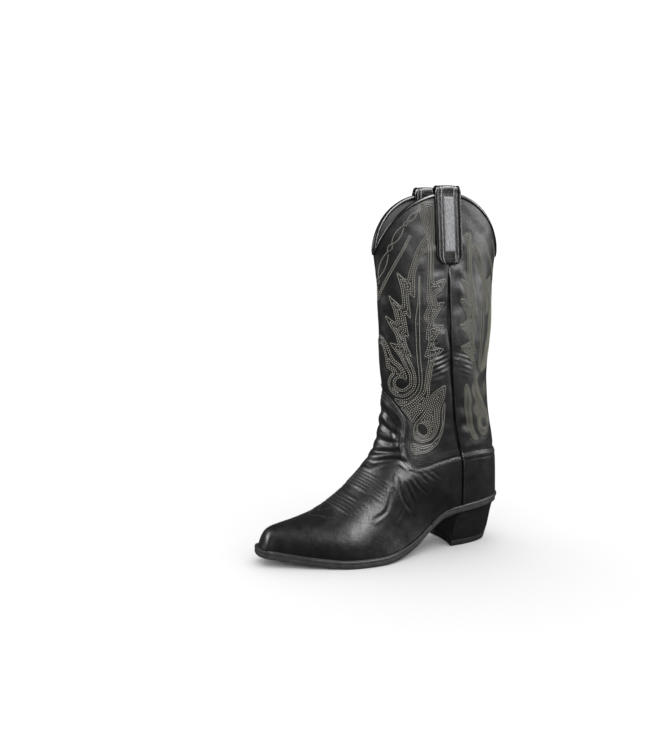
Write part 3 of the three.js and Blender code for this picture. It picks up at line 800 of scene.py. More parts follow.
VAMP_LEATHER = leather(
    "vamp_leather", (0.0035, 0.0035, 0.004), (0.007, 0.007, 0.0075), (0.33, 0.44), 0.8, 0.08,
    specular=BLACK_GLOSS).material
SHAFT_LEATHER = quilted_leather()
TRIM_LEATHER = leather(
    "trim_leather", (0.004, 0.004, 0.0045), (0.009, 0.009, 0.0095), (0.20, 0.30), 1.1, 0.05,
    coat=0.25, specular=BLACK_GLOSS).material
LINING_LEATHER = leather(
    "lining_leather", (0.022, 0.020, 0.019), (0.040, 0.036, 0.033), (0.6, 0.8), 1.4, 0.10).material
NATURAL_LEATHER = leather(
    "natural_leather", (0.30, 0.19, 0.10), (0.42, 0.28, 0.16), (0.55, 0.75), 1.2, 0.08).material
SOLE_EDGE = plain("sole_leather", (0.022, 0.022, 0.023), (0.040, 0.040, 0.041), (0.42, 0.58), 7, 0.05,
                  specular=0.3)
HEEL_STACK = plain("heel_stack", (0.0045, 0.0045, 0.005), (0.009, 0.009, 0.0095), (0.42, 0.55), 9,
                   0.05, specular=0.15)
HEEL_RUBBER = plain("heel_rubber", (0.006, 0.006, 0.006), (0.011, 0.011, 0.011), (0.6, 0.8), 5, 0.08,
                    specular=0.25)
CORK = plain("cork_mix", (0.22, 0.13, 0.06), (0.42, 0.28, 0.15), (0.8, 0.95), 2.5, 0.3)
CANVAS = plain("lining_canvas", (0.45, 0.41, 0.33), (0.58, 0.54, 0.44), (0.8, 0.95), 2, 0.15)
STEEL = plain("shank_steel", (0.42, 0.43, 0.45), (0.52, 0.53, 0.55), (0.3, 0.45), 4, 0.02, 1.0)
BRASS = plain("nail_brass", (0.60, 0.42, 0.16), (0.70, 0.52, 0.22), (0.3, 0.45), 3, 0.02, 1.0)
WOOD = plain("peg_wood", (0.45, 0.30, 0.15), (0.60, 0.43, 0.24), (0.6, 0.8), 1.5, 0.1)
INLAY_SUEDE = inlay_suede()
FRONT_THREAD = cord_thread("front_thread", (0.60, 0.575, 0.49), (0.38, 0.36, 0.30))
BACK_THREAD = cord_thread("back_thread", (0.58, 0.565, 0.42), (0.37, 0.36, 0.25))
BLACK_THREAD = cord_thread("black_thread", (0.016, 0.016, 0.017), (0.008, 0.008, 0.009))
GREY_THREAD = cord_thread("grey_thread", (0.10, 0.098, 0.09), (0.055, 0.055, 0.05))


# ---------------------------------------------------------------- upper leathers

SLOT_SHARE = 0.0093
LINING_DEPTHS = (-3.1, -1.9)
SHAFT_DEPTHS = (-1.6, 0.0)
OVERLAY_DEPTHS = (0.3, 2.0)
CLEAR_OF_WELT = 8.2
UNDERLAP = 9.0
ABOVE_ALL = 400.0
BELOW_GROUND = -20.0

VAMP_LINE = smooth_line(VAMP_EDGE)
COUNTER_LINE = smooth_line(COUNTER_EDGE)


def side_view(points):
    return np.stack([-points[..., 1], points[..., 2]], -1)


def vamp_outline(shift, up_to):
    edge = VAMP_LINE + [shift, -shift]
    return np.vstack([[0, edge[0, 1]], edge, [300, edge[-1, 1]], [300, up_to], [0, up_to]])


def counter_outline(shift, up_to):
    edge = COUNTER_LINE + [0, shift]
    return np.vstack([edge, [100, edge[-1, 1]], [100, up_to], [-60, up_to], [-60, edge[0, 1]]])


def above_welt(points):
    return points[:, 2] - sole_at(-points[:, 1]) - CLEAR_OF_WELT


def within(outline):
    """Field that is positive inside a side-view outline and above the welt."""
    return lambda points: np.minimum(depth_inside(side_view(points), outline), above_welt(points))


def half_columns(count, crowding):
    spread = np.linspace(-1, 1, 2 * count + 1)
    return np.sign(spread) * np.abs(spread) ** crowding * (1 - SLOT_SHARE)


def crease_relief(points, creases):
    """Grooves with a soft ridge beside them along side-view lines: (line, depth, width)."""
    relief = np.zeros(len(points))
    for line, depth, width in creases:
        line = smooth_line(line, 5)
        gap = distance_to_line(points, line)
        ends = np.minimum(np.linalg.norm(points - line[0], axis=1),
                          np.linalg.norm(points - line[-1], axis=1))
        fade = smooth(ends, 0, 5)
        groove = np.exp(-(gap / width) ** 2)
        ridge = np.exp(-((gap - 2.1 * width) / width) ** 2)
        relief += depth * (0.55 * ridge - groove) * (0.25 + 0.75 * fade)
    return relief


# Creases of the instep and waist in the side view, with how deep and how wide each is in mm.
SIDE_CREASES = [
    ([[104, 89], [99, 82], [92, 75]], 0.4, 1.1),
    ([[110, 84], [105, 76], [97, 68], [91, 63]], 0.5, 1.2),
    ([[114, 80], [110, 71], [104, 62]], 0.4, 1.0),
    ([[119, 78], [115, 68], [109, 57]], 0.5, 1.2),
    ([[126, 82], [125, 72], [121, 60], [113, 49]], 0.6, 1.4),
    ([[98, 89], [91, 83], [84, 78]], 0.45, 1.0),
    ([[89, 89], [83, 84], [77, 79]], 0.35, 0.9),
    ([[133, 72], [137, 62], [143, 51], [156, 45]], 0.55, 1.6),
    ([[121, 60], [123, 50], [130, 41]], 0.4, 1.5),
]
# Creases over the front of the ankle.
ANKLE_CREASES = [
    ([[147, 93], [136, 98], [122, 101], [113, 96]], 1.1, 2.2),
    ([[141, 104], [131, 107], [121, 108]], 0.9, 2.0),
    ([[134, 120], [127, 117], [119, 119]], 0.8, 2.2),
    ([[133, 140], [127, 131], [120, 124]], 0.8, 2.0),
    ([[133, 158], [127, 147], [123, 136], [121, 118]], 1.0, 1.6),
]


# The top edges of the vamp and counter are pared thin: how much, and how far in.
SKIVE = 1.15
SKIVE_WIDTH = 2.4


def vamp_relief(sheet):
    place = side_view(sheet.base)
    side = np.sign(sheet.base[:, 0]) * 37
    relief = 0.35 * noise(place[:, 0] + side, place[:, 1] * 1.2, 24, 3)
    relief += 0.14 * noise(place[:, 0] - side, place[:, 1], 8, 4)
    relief += crease_relief(place, SIDE_CREASES + ANKLE_CREASES)
    border = distance_to_line(place, VAMP_LINE)
    skive = SKIVE * np.exp(-(border / SKIVE_WIDTH) ** 2)
    relief -= 0.7 * np.exp(-((border - 7.5) / 1.3) ** 2) * smooth(place[:, 1], 100, 112)
    relief -= 0.45 * np.exp(-((border - 5.6) / 0.9) ** 2) * (1 - smooth(place[:, 1], 95, 104))
    for u, reach in toe_ridges():
        row = ridge_row(u, np.abs(sheet.a))
        gap = (sheet.u - row) * RIDGE_ROW_LENGTH
        ends = 1 - smooth(np.abs(sheet.a), reach - 0.04, reach + 0.02)
        relief += RIDGE_HEIGHT * np.exp(-(gap / RIDGE_WIDTH) ** 2) * ends
    forefoot = smooth(sheet.u, 10.5, 12.5)
    return np.clip(relief - skive, -1.3, 1.2) * (1 - 0.75 * forefoot)


# Toe stitching: ridges across the vamp in two groups, as [row at the crest, reach to a side].
FIRST_RIDGES = [(7.30 + 0.155 * k, 0.43 + 0.012 * k) for k in range(6)]
SECOND_RIDGES = [(8.60 + 0.165 * k, 0.44 - 0.012 * k) for k in range(5)]
RIDGE_SWEEP = 0.95
RIDGE_HEIGHT = 0.5
RIDGE_WIDTH = 0.95
# How long a row is along the crest where the ridges are, in mm, and how many rows wide a flank is.
RIDGE_ROW_LENGTH = 17.5
RIDGE_FLANK = 0.055


def toe_ridges():
    return FIRST_RIDGES + SECOND_RIDGES


def ridge_row(u, share):
    """Row of a toe ridge, which sweeps back towards its ends."""
    return u - RIDGE_SWEEP * share ** 1.6


def shaft_relief(sheet, girth, edge_line, edge_depth, seed):
    place = side_view(sheet.base)
    height = sheet.base[:, 2]
    side = np.sign(sheet.base[:, 0]) * 53
    relief = 0.7 * noise(girth + side, height, 26, seed)
    relief += 0.38 * noise(girth - side, height * 1.1, 11, seed + 1)
    pucker = np.exp(-((girth - 11) / 8) ** 2) * smooth(height, 105, 130)
    pucker *= 1 - smooth(height, 315, 340)
    relief += 1.7 * pucker * noise(girth * 0.5 + side, height, 9.5, seed + 2)
    folds = np.exp(-((girth - 14) / 9) ** 2) * np.exp(-((height - 203) / 13) ** 2)
    wave = np.sin(2 * math.pi * (height + 0.35 * girth + 1.6 * noise(girth, height, 12, seed)) / 5.2)
    relief += (0.85 if sheet.surface is front else 0.5) * folds * wave
    relief -= 0.9 * np.exp(-(girth / 2.6) ** 2)
    relief *= smooth(distance_to_line(place, edge_line), 0, 7)
    relief *= smooth(sheet.u, 0.0, 0.25)
    return np.clip(relief, -1.2, 0.9) * np.where(edge_depth > 0, 0.0, 1.0)


# ---------------------------------------------------------------- shaft stitching pattern

# Outlines are [distance round from the side seam, height] in mm, the same on both sides.
PLUME = [
    [15, 316], [26, 311], [30, 306], [34, 296], [36, 287], [36, 276], [36.5, 265], [43, 272],
    [42, 260], [40.5, 244], [47, 252], [45, 237], [43.5, 224], [48, 230], [46, 218],
    [41, 205], [46.5, 210], [41, 197], [39, 188], [39, 180], [41, 173], [48, 166.5], [55, 164],
    [64, 166], [68.5, 171], [70, 179], [67, 186], [62.5, 191], [70, 195], [70.5, 207],
    [73, 216], [84, 224], [84, 233], [72, 226], [66, 218], [63, 210], [60, 204], [54, 199.5],
    [50, 193], [48.6, 186], [48.5, 177], [46.5, 178], [46, 188], [51, 198], [54, 206],
    [60, 214], [65, 222], [55, 219], [58, 230], [62, 236], [70, 251], [56, 241], [59, 256],
    [64, 271], [49, 257], [50, 275], [55, 294], [44, 284], [41, 296], [37, 306], [33, 317],
    [26, 326], [21, 331],
]
SPINE = [
    [32, 292], [34, 262], [37, 245], [37.3, 214], [36.8, 199], [36.3, 186], [37, 177],
    [41.5, 169.5], [49, 163.5], [57, 161.8], [66, 164], [62, 157.5], [59, 154.8], [51, 157],
    [42.5, 162.5], [35, 171], [33, 178], [32.3, 188], [33, 215], [32, 245], [31.2, 262], [30.6, 292],
]
CENTRE_FLAME = [
    [27, 362], [29.5, 351], [27, 338], [22.5, 326], [21.5, 312], [23, 287], [25, 264], [23, 260],
    [29, 247], [23.5, 240], [26, 234], [27.5, 225], [23.5, 224], [26, 215], [30, 206.5],
    [24.5, 206], [28, 193], [30, 185], [31, 178], [33, 170.5], [40, 164.5], [48, 158.5],
    [60, 153.5], [55, 147], [52, 138.5], [49, 138], [44, 144], [38, 148], [31, 155], [26, 168],
    [25, 178], [23, 186], [21, 195], [18, 204], [12, 210], [7, 214.5], [18, 217], [19, 222],
    [14, 229], [5, 239], [17, 239.5], [18, 243], [13, 250], [4, 263.5], [14, 261], [15, 270],
    [8, 274], [2, 286], [7, 286], [17, 282], [16, 312], [14, 328], [14.5, 345], [14, 362],
]
LOWER_SCROLL = [
    [25, 167.5], [15, 174.5], [8, 178.5], [9.5, 166], [16, 151], [19, 137], [25, 126],
    [35, 119], [46, 117], [53.5, 121], [54.5, 127], [50, 135], [46, 139.5], [43, 141.5],
    [37, 146], [30, 154.5],
]
LOWER_BAND = [
    [9.5, 161], [12, 142], [17, 128], [27, 114], [40, 107], [57, 105], [60, 112], [57.5, 120],
    [56, 117.5], [47, 114], [34, 116], [23, 124], [16.5, 136], [14.5, 149], [12.5, 157],
]
PLUME_EYE = ([55, 179], 6.0, 5.8)
SCROLL_EYE = ([41, 131], 6.0, 6.2)

BACK_FLAME = [
    [16, 330], [18, 329], [21, 314], [21, 298], [22, 282], [17, 283.5], [10.5, 288], [17, 275],
    [20, 268], [22, 260], [17, 265], [9.5, 265], [15, 256], [20, 245], [15, 239], [7.5, 240],
    [17, 231], [22, 220], [8.5, 216], [14, 210], [20, 206], [24, 196], [27.5, 186], [26, 179],
    [22, 172], [22, 167], [26.5, 157], [25, 153], [20, 152], [22, 143.5], [27, 141.5],
    [26, 136], [25, 127], [29, 120], [35, 118.5], [41, 124], [48, 134], [47, 143], [40, 152],
    [39, 157], [35, 162], [29, 170], [29, 176], [30, 183], [31, 190], [28, 200], [25.5, 210],
    [31.5, 206], [28, 216], [27, 229], [31.5, 225], [31, 236], [27.5, 249.5], [33.5, 245],
    [32, 255], [30, 274], [28, 286], [26, 302], [26, 314], [26, 332],
]
BACK_PLUME = [
    [26, 317], [29, 309], [35, 300], [38, 292], [40, 286], [42, 280], [43, 273], [48, 267],
    [49, 257], [47.5, 245], [54, 250], [53, 241], [51, 226], [46, 215], [43.5, 202], [36, 189],
    [40, 186], [54, 194], [57, 202], [64, 213], [65, 226], [64, 247], [61, 260], [60, 276],
    [61, 289], [50, 281], [44, 294], [42, 305], [37, 314], [30, 322],
]
BACK_SPINE = [
    [40, 272], [40, 254], [38.5, 236], [37, 220], [36, 204], [33.5, 191], [36.6, 191],
    [39.6, 203], [41.5, 220], [43.6, 236], [44, 254], [45, 272],
]
BACK_TENDRIL = [
    [14, 178], [12, 172], [11, 159], [11, 146], [12, 131], [15, 120], [19, 114.5], [25, 117],
    [21.5, 122], [19, 130], [19, 141], [18, 153], [21, 157], [19, 164], [18, 173],
]
BACK_EYE = ([36, 133], 5.0, 6.0)

DOUBLE_LINE = [[39, 329], [49, 311], [59, 294], [67, 280], [76, 265], [86, 250]]
# The chain of ovals under the front topline: where each link ends, and half its width.
CHAIN_ENDS = [[27, 356], [32.5, 351.5], [41.5, 342.5], [45.5, 338.5], [57.5, 320], [61.5, 313],
              [72.5, 286], [75.5, 280], [84, 256]]
CHAIN_WIDTHS = [1.2, 2.6, 1.9, 3.0, 2.4, 3.2, 2.0, 3.2]
BACK_LINES = [
    [[42, 327], [47, 318], [54, 306], [63, 292], [78, 272]],
    [[44, 329], [49, 320], [56, 308], [65, 294], [79, 275]],
    [[59, 325], [68, 311], [79, 296]],
]
BACK_LOOPS = [
    [[30, 180], [31.5, 172.5], [36, 168.5], [41, 169.5], [44.5, 177]],
    [[29.5, 176], [32.5, 168.5], [37.5, 164.5], [43, 166.5], [46.5, 175]],
    [[31, 167], [36, 161.5], [41, 160.5], [46, 165], [48, 173]],
]


def ellipse(centre, wide, tall, count=28):
    turns = np.linspace(0, 2 * math.pi, count, endpoint=False)
    return np.stack([centre[0] + wide * np.cos(turns), centre[1] + tall * np.sin(turns)], 1)


def link(start, end, half):
    """A pointed oval of the chain between two places."""
    start, end = np.array(start, float), np.array(end, float)
    across = np.array([-(end - start)[1], (end - start)[0]]) / np.linalg.norm(end - start)
    t = np.linspace(0, 1, 13)[:, None]
    side = across * half * np.sin(math.pi * t) ** 0.8
    middle = lerp(start, end, t)
    return np.vstack([middle + side, (middle - side)[-2:0:-1]])


FRONT_SHAPES = [
    (PLUME, PLUME_EYE), (SPINE, None), (CENTRE_FLAME, None), (LOWER_SCROLL, SCROLL_EYE),
    (LOWER_BAND, None),
]
BACK_SHAPES = [
    (BACK_FLAME, BACK_EYE), (BACK_PLUME, None), (BACK_SPINE, None), (BACK_TENDRIL, None),
]


def shape_depth(points, shape):
    """How deep places lie inside one stitched shape, in mm."""
    outline, eye = shape
    depth = depth_inside(points, rounded(outline, times=1))
    if eye:
        depth = np.minimum(depth, -depth_inside(points, ellipse(*eye)))
    return depth


def shapes_depth(points, shapes):
    return np.max([shape_depth(points, shape) for shape in shapes], axis=0)


def pattern_rows(shape):
    """The rows of stitching that fill a shape, parallel to its outline."""
    outline, eye = shape
    low, high = np.min(outline, axis=0) - 1, np.max(outline, axis=0) + 1
    xs, ys = np.arange(low[0], high[0], 0.5), np.arange(low[1], high[1], 0.5)
    depth = shape_depth(np.stack(np.meshgrid(xs, ys, indexing="ij"), -1), shape)
    rows = []
    for level in np.arange(FIRST_ROW, depth.max(), ROW_SPACING):
        rows += contour_lines(xs, ys, depth, level)
    return [(line, closed) for line, closed in rows if len(line) > 6]


def stitch_half(thread, chart, limit_at, rows):
    """Sews rows on to one half of the shaft, up to its centre line and its lower edge."""
    for line, closed in rows:
        line, _ = resample(line, 0.8)
        kept = (line[:, 0] > 0.6) & (line[:, 0] < limit_at(line[:, 1]))
        starts = np.flatnonzero(np.diff(np.concatenate([[0], kept.astype(int), [0]])) == 1)
        ends = np.flatnonzero(np.diff(np.concatenate([[0], kept.astype(int), [0]])) == -1)
        for start, end in zip(starts, ends):
            if end - start > 4:
                points, normals = chart.locate(line[start:end])
                thread.run(points, normals)


# ---------------------------------------------------------------- shaft, lining, vamp, counter

def charts_of(sheet, girth, key):
    """A chart of each half of a sheet's outer face: girth and height, or the side view."""
    rows, columns = sheet.shape
    count = rows * columns
    top = sheet.top[:count].reshape(rows, columns, 3)
    normal = sheet.normal[:count].reshape(rows, columns, 3)
    base = sheet.base[:count].reshape(rows, columns, 3)
    q = base[..., 2]
    p = girth if key == "girth" else -base[..., 1]
    middle = columns // 2
    halves = {}
    for word, part in (("medial", slice(0, middle + 1)), ("lateral", slice(middle, columns))):
        halves[word] = Chart(p[:, part], q[:, part], top[:, part], normal[:, part])
    return halves


def make_shaft(word, surface, outline, shapes, seed):
    rows = np.linspace(0, SEAM_ROWS, 250)
    columns = half_columns(78, 0.85)
    sheet = Sheet(surface, rows, columns, within(outline))
    girth, height = girth_and_height(sheet, columns)
    near = girth_everywhere(sheet, rows, columns, girth)
    edge_line = VAMP_LINE if surface is front else COUNTER_LINE
    overlay = vamp_outline if surface is front else counter_outline
    covered = depth_inside(side_view(sheet.base), overlay(0, BELOW_GROUND))
    relief = shaft_relief(sheet, near, edge_line, covered, seed)
    depth = shapes_depth(np.stack([near, sheet.base[:, 2]], -1), shapes)
    relief = relief + 0.25 * smooth(depth, -1.5, 2.5) - 0.2 * smooth(depth, -4, -1)
    relief = np.where(covered > -1, np.minimum(relief, 0.0), relief)
    points, faces = sheet.solid(*SHAFT_DEPTHS, relief)
    piece = new_piece(f"shaft_{word}_leather", points, faces, SHAFT_LEATHER, [f"shaft_{word}"])
    kept = depth[sheet.used]
    rest = len(points) - 2 * len(kept)
    set_attribute(piece, "rows", np.concatenate([kept, kept * 0 - 9, np.full(rest, -9.0)]))
    return sheet, girth, height


def lines_of(paths):
    return [(smooth_line(path, 6), False) for path in paths]


# Stitches as (pitch, thread radius, gap between two) in mm.
PATTERN_STITCH = {"front": (2.3, 0.33, 1.05), "back": (2.6, 0.33, 1.4)}
EDGE_STITCH = (1.9, 0.30, 0.4)
TOE_STITCH = (1.7, 0.26, 0.35)
STRAP_STITCH = (2.0, 0.28, 0.5)
WELT_STITCH = (2.6, 0.36, 0.7)


def sew_shaft(word, sheet, girth, height, shapes, lines, material):
    """Fills a shaft panel's shapes with rows of stitches, and sews its single lines."""
    charts = charts_of(sheet, girth, "girth")
    middle = girth.shape[1] // 2
    total = girth[:, middle]
    tops = height[:, middle]
    order = np.argsort(tops)
    rows = [row for shape in shapes for row in pattern_rows(shape)] + lines
    for side in ("lateral", "medial"):
        thread = Thread(*PATTERN_STITCH[word])
        limit = lambda z: np.interp(z, tops[order], total[order]) - 0.4
        stitch_half(thread, charts[side], limit, rows)
        thread.piece(f"pattern_stitching_{word}_{side}", material, "upper_leather")


def make_lining(word, surface):
    """A lining, smooth against the shaft and softly uneven on its inner face."""
    sheet = Sheet(surface, np.linspace(0, SEAM_ROWS, 120), half_columns(40, 0.85))
    relief = 0.25 * noise(sheet.base[:, 0] + sheet.base[:, 1], sheet.base[:, 2], 22, 31)
    relief *= smooth(sheet.u, 0, 0.3)
    points, faces = sheet.solid(*LINING_DEPTHS, np.zeros(len(relief)))
    inner = np.cumsum(sheet.used)[-1]
    points[inner:2 * inner] -= (sheet.normal * (0.3 * relief - 0.05)[:, None])[sheet.used]
    new_piece(f"lining_{word}_leather", points, faces, LINING_LEATHER, [f"lining_{word}"])


def make_vamp():
    rows = np.concatenate([np.linspace(2.9, 12.9, 215), np.linspace(12.95, TOE_ROW, 60)])
    columns = half_columns(86, 1.1)
    sheet = Sheet(front, rows, columns, within(vamp_outline(0, BELOW_GROUND)))
    points, faces = sheet.solid(*OVERLAY_DEPTHS, vamp_relief(sheet), 0.3)
    new_piece("vamp_leather", points, faces, VAMP_LEATHER, ["vamp"])
    return sheet


def make_counter():
    rows = np.linspace(4.3, SEAM_ROWS, 90)
    columns = half_columns(70, 1.0)
    sheet = Sheet(back, rows, columns, within(counter_outline(0, BELOW_GROUND)))
    height = sheet.base[:, 2]
    relief = 0.12 * noise(sheet.base[:, 0] * 2, height, 26, 41)
    border = distance_to_line(side_view(sheet.base), COUNTER_LINE)
    relief -= 0.35 * np.exp(-((border - 7.5) / 0.8) ** 2)
    relief -= SKIVE * np.exp(-(border / SKIVE_WIDTH) ** 2)
    points, faces = sheet.solid(*OVERLAY_DEPTHS, relief, 0.3)
    new_piece("heel_counter_leather", points, faces, VAMP_LEATHER, ["heel_counter"])
    return sheet


def inset_line(line, distance):
    """A side-view line moved sideways; a positive distance is to its right."""
    along = np.gradient(np.asarray(line, float), axis=0)
    along /= np.linalg.norm(along, axis=1, keepdims=True)
    return line + np.stack([along[:, 1], -along[:, 0]], 1) * distance


# How far the rows of stitches lie inside the overlays' top edges, and above them on the shaft.
EDGE_INSETS = (1.6, 3.6)
SHAFT_OUTSETS = (3.4, 5.4, 7.4)
# Rows along the vamp start ahead of the seam and stop short of the tongue's tip; those on the
# tongue are sewn in grey, from this height up. Rows along the counter run between two places.
VAMP_ROW_START = 52.0
VAMP_ROW_TOP = 179.0
SHAFT_ROW_TOP = 176.0
TONGUE_START = 101.0
COUNTER_ROW = (1.5, 49.0)


def sew_edges(vamp, counter, shaft):
    """Double rows along the vamp's and counter's top edges, and tonal rows on the shaft above."""
    vamp_charts, counter_charts, shaft_charts = [
        charts_of(sheet, None, "side") for sheet in (vamp, counter, shaft)]
    light = Thread(*EDGE_STITCH)
    dark = Thread(*EDGE_STITCH)
    for word in ("lateral", "medial"):
        for inset in EDGE_INSETS:
            line = resample(inset_line(VAMP_LINE, inset), 0.8)[0]
            steep = line[:, 1] > TONGUE_START
            for part, thread in ((line[steep], light), (line[~steep][:-1], dark)):
                part = part[(part[:, 0] > VAMP_ROW_START) & (part[:, 1] < VAMP_ROW_TOP)]
                thread.run(*vamp_charts[word].locate(part))
            line = resample(inset_line(COUNTER_LINE, inset), 0.8)[0]
            line = line[(line[:, 0] > COUNTER_ROW[0]) & (line[:, 0] < COUNTER_ROW[1])]
            dark.run(*counter_charts[word].locate(line))
        for outset in SHAFT_OUTSETS:
            line = resample(inset_line(VAMP_LINE, -outset), 0.8)[0]
            line = line[(line[:, 0] > VAMP_ROW_START) & (line[:, 1] < SHAFT_ROW_TOP)]
            dark.run(*shaft_charts[word].locate(line))
    light.piece("vamp_edge_stitching", GREY_THREAD, "upper_leather")
    dark.piece("counter_edge_stitching", BLACK_THREAD, "upper_leather")


def sew_toe(vamp):
    """Rows of tonal stitching on both flanks of the toe ridges, and the medallion round them."""
    thread = Thread(*TOE_STITCH)
    rows, columns = vamp.shape
    grid_u = vamp.u[:rows * columns].reshape(rows, columns)[:, 0]
    grid_a = vamp.a[:columns]
    top = vamp.top[:rows * columns].reshape(rows, columns, 3)
    normal = vamp.normal[:rows * columns].reshape(rows, columns, 3)

    def on_vamp(u, a):
        i = np.interp(u, grid_u, np.arange(rows))
        j = np.interp(a, grid_a, np.arange(columns))
        return bilinear(top, i, j), bilinear(normal, i, j)

    for u, reach in toe_ridges():
        a = np.linspace(-reach, reach, 90)
        for flank in (-RIDGE_FLANK, RIDGE_FLANK):
            thread.run(*on_vamp(ridge_row(u, np.abs(a)) + flank, a))
    for lobes in MEDALLION:
        path = smooth_line(lobes, 6)
        for side in (1, -1):
            thread.run(*on_vamp(path[:, 0], side * path[:, 1]))
    thread.piece("toe_stitching", BLACK_THREAD, "upper_leather")


# Tonal scrolls beside the toe ridges, as [row, share of the half width].
MEDALLION = [
    [[6.75, 0.50], [7.05, 0.56], [7.35, 0.53], [7.5, 0.58], [7.85, 0.60], [8.15, 0.56], [8.4, 0.60],
     [8.8, 0.56], [9.05, 0.48], [9.25, 0.38]],
    [[9.25, 0.38], [9.45, 0.28], [9.35, 0.16], [9.6, 0.08], [9.9, 0.0]],
    [[8.3, 0.0], [8.38, 0.10], [8.25, 0.2], [8.32, 0.3], [8.1, 0.37]],
    [[9.55, 0.30], [9.85, 0.24], [10.05, 0.12], [10.4, 0.0]],
]


shaft_front_sheet, front_girth, front_height = make_shaft(
    "front", front, vamp_outline(UNDERLAP, ABOVE_ALL), FRONT_SHAPES, 11)
shaft_back_sheet, back_girth, back_height = make_shaft(
    "back", back, counter_outline(-UNDERLAP, ABOVE_ALL), BACK_SHAPES, 17)
make_lining("front", front)
make_lining("back", back)
vamp_sheet = make_vamp()
counter_sheet = make_counter()

double_lines = [inset_line(smooth_line(DOUBLE_LINE, 6), shift) for shift in (-0.9, 0.9)]
front_lines = [(line, False) for line in double_lines] + [
    (link(start, end, half), True)
    for start, end, half in zip(CHAIN_ENDS, CHAIN_ENDS[1:], CHAIN_WIDTHS)]
sew_shaft("front", shaft_front_sheet, front_girth, front_height, FRONT_SHAPES, front_lines,
          FRONT_THREAD)
sew_shaft("back", shaft_back_sheet, back_girth, back_height, BACK_SHAPES,
          lines_of(BACK_LINES + BACK_LOOPS), BACK_THREAD)
sew_edges(vamp_sheet, counter_sheet, shaft_front_sheet)
sew_toe(vamp_sheet)


# ---------------------------------------------------------------- swept trims

def sweep(name, rings, material, replaced, closed=False, body="boot"):
    """Joins equal rings of points into a tube, with flat ends unless it closes on itself."""
    count = len(rings[0])
    faces = []
    for i in range(len(rings) if closed else len(rings) - 1):
        here, after = i * count, ((i + 1) % len(rings)) * count
        for k in range(count):
            m = (k + 1) % count
            faces.append([here + k, here + m, after + m, after + k])
    if not closed:
        faces.append([k for k in reversed(range(count))])
        faces.append([(len(rings) - 1) * count + k for k in range(count)])
    return new_piece(name, np.vstack(rings), faces, material, replaced, body)


def seam_row(up):
    """Row of the side seam at a height."""
    rows = np.linspace(0, SEAM_ROWS, 400)
    heights = row_at(SIDE_SEAM, rows)[:, 1]
    return np.interp(-np.asarray(up, float), -heights, rows)


def seam_at(up):
    return row_at(SIDE_SEAM, seam_row(up))


# Section of the topline's binding: [out, up] from the shaft's outer face at the topline.
BINDING_SECTION = [
    [0.30, -3.0], [0.95, -2.7], [1.15, -1.6], [1.05, -0.2], [0.55, 0.9], [-0.6, 1.35],
    [-2.2, 1.35], [-3.4, 0.9], [-4.0, -0.2], [-4.1, -1.6], [-3.9, -2.7], [-3.3, -3.0],
    [-3.25, 0.1], [0.25, 0.1],
]


def make_binding():
    """The rolled strip over the topline, run round the whole scallop."""
    shares = np.linspace(-1, 1, 150)
    rings = []
    for surface, order in ((front, shares), (back, -shares)):
        points = surface(np.zeros_like(order), order)
        normals = normal_of(surface, np.full_like(order, 0.02), order)
        normals[:, 2] = 0
        normals /= np.linalg.norm(normals, axis=1, keepdims=True)
        for point, normal, share in list(zip(points, normals, order))[:-1]:
            wobble = 1 + 0.05 * math.sin(37 * share)
            rings.append([point + normal * x * (wobble if x > 0 else 1) + [0, 0, z]
                          for x, z in BINDING_SECTION])
    sweep("topline_binding", rings, TRIM_LEATHER,
          ["topline_binding_front", "topline_binding_back"], closed=True)


def make_piping(word, side):
    """The bead along the side seam; over the counter it is twisted like a cord."""
    heights = np.concatenate([np.linspace(297, 106, 150), np.linspace(105.6, 42.5, 150)])
    rings = []
    for up in heights:
        fore, _, half = seam_at(up)
        low = 1 - smooth(up, 96, 108)
        centre = half + lerp(0.35, 2.5, low) - 1.4 * smooth(up, 285, 297)
        ring = []
        for k in range(12):
            turn = 2 * math.pi * k / 12
            twist = 1 + 0.16 * low * math.sin(2 * math.pi * up / 2.9 + turn)
            radius = lerp(1.0, 1.15, low) * twist
            out = centre + radius * math.cos(turn)
            ring.append([side * out, -fore + radius * math.sin(turn), up])
        rings.append(ring)
    rings = [ring for ring in rings
             if ring[0][2] > sole_at(seam_at(ring[0][2])[0]) + CLEAR_OF_WELT]
    sweep(f"side_piping_{word}_bead", rings, TRIM_LEATHER, [f"side_piping_{word}"])


make_binding()
for word, side in (("lateral", 1), ("medial", -1)):
    make_piping(word, side)


# ---------------------------------------------------------------- pull straps

STRAP_BOTTOM, STRAP_INSIDE, STRAP_TOP = 300.0, 327.0, 378.8
STRAP_TURN = 370.4
STRAP_THICKNESS = 1.8
STRAP_OUT, STRAP_IN = 0.8, -4.5
LOOP_FOOT = 372.3
# The strap bends over this stretch below and above the hinge, in metres.
ARCH_ROUNDING = 0.28
INLAY_BOTTOM, INLAY_TOP, INLAY_HALF = 313.0, 367.5, 5.5


def strap_path():
    """The strap's underside in the plane across the boot: [out, up] from the outer end."""
    outer = [[seam_at(up)[2] + STRAP_OUT, up] for up in np.linspace(STRAP_BOTTOM, STRAP_TURN, 50)]
    half = seam_at(SEAM_TOP_UP)[2]
    middle = half + (STRAP_OUT + STRAP_IN) / 2
    reach = (STRAP_OUT - STRAP_IN) / 2
    rise = STRAP_TOP - STRAP_THICKNESS - LOOP_FOOT
    arch = []
    for turn in np.linspace(0, math.pi, 241):
        c, s = math.cos(turn), math.sin(turn)
        arch.append([middle + reach * np.sign(c) * abs(c) ** ARCH_ROUNDING,
                     LOOP_FOOT + rise * s ** ARCH_ROUNDING])
    inner = [[seam_at(up)[2] + STRAP_IN, up] for up in np.linspace(STRAP_TURN, STRAP_INSIDE, 40)]
    return resample(np.vstack([outer, arch, inner]), 0.7)[0]


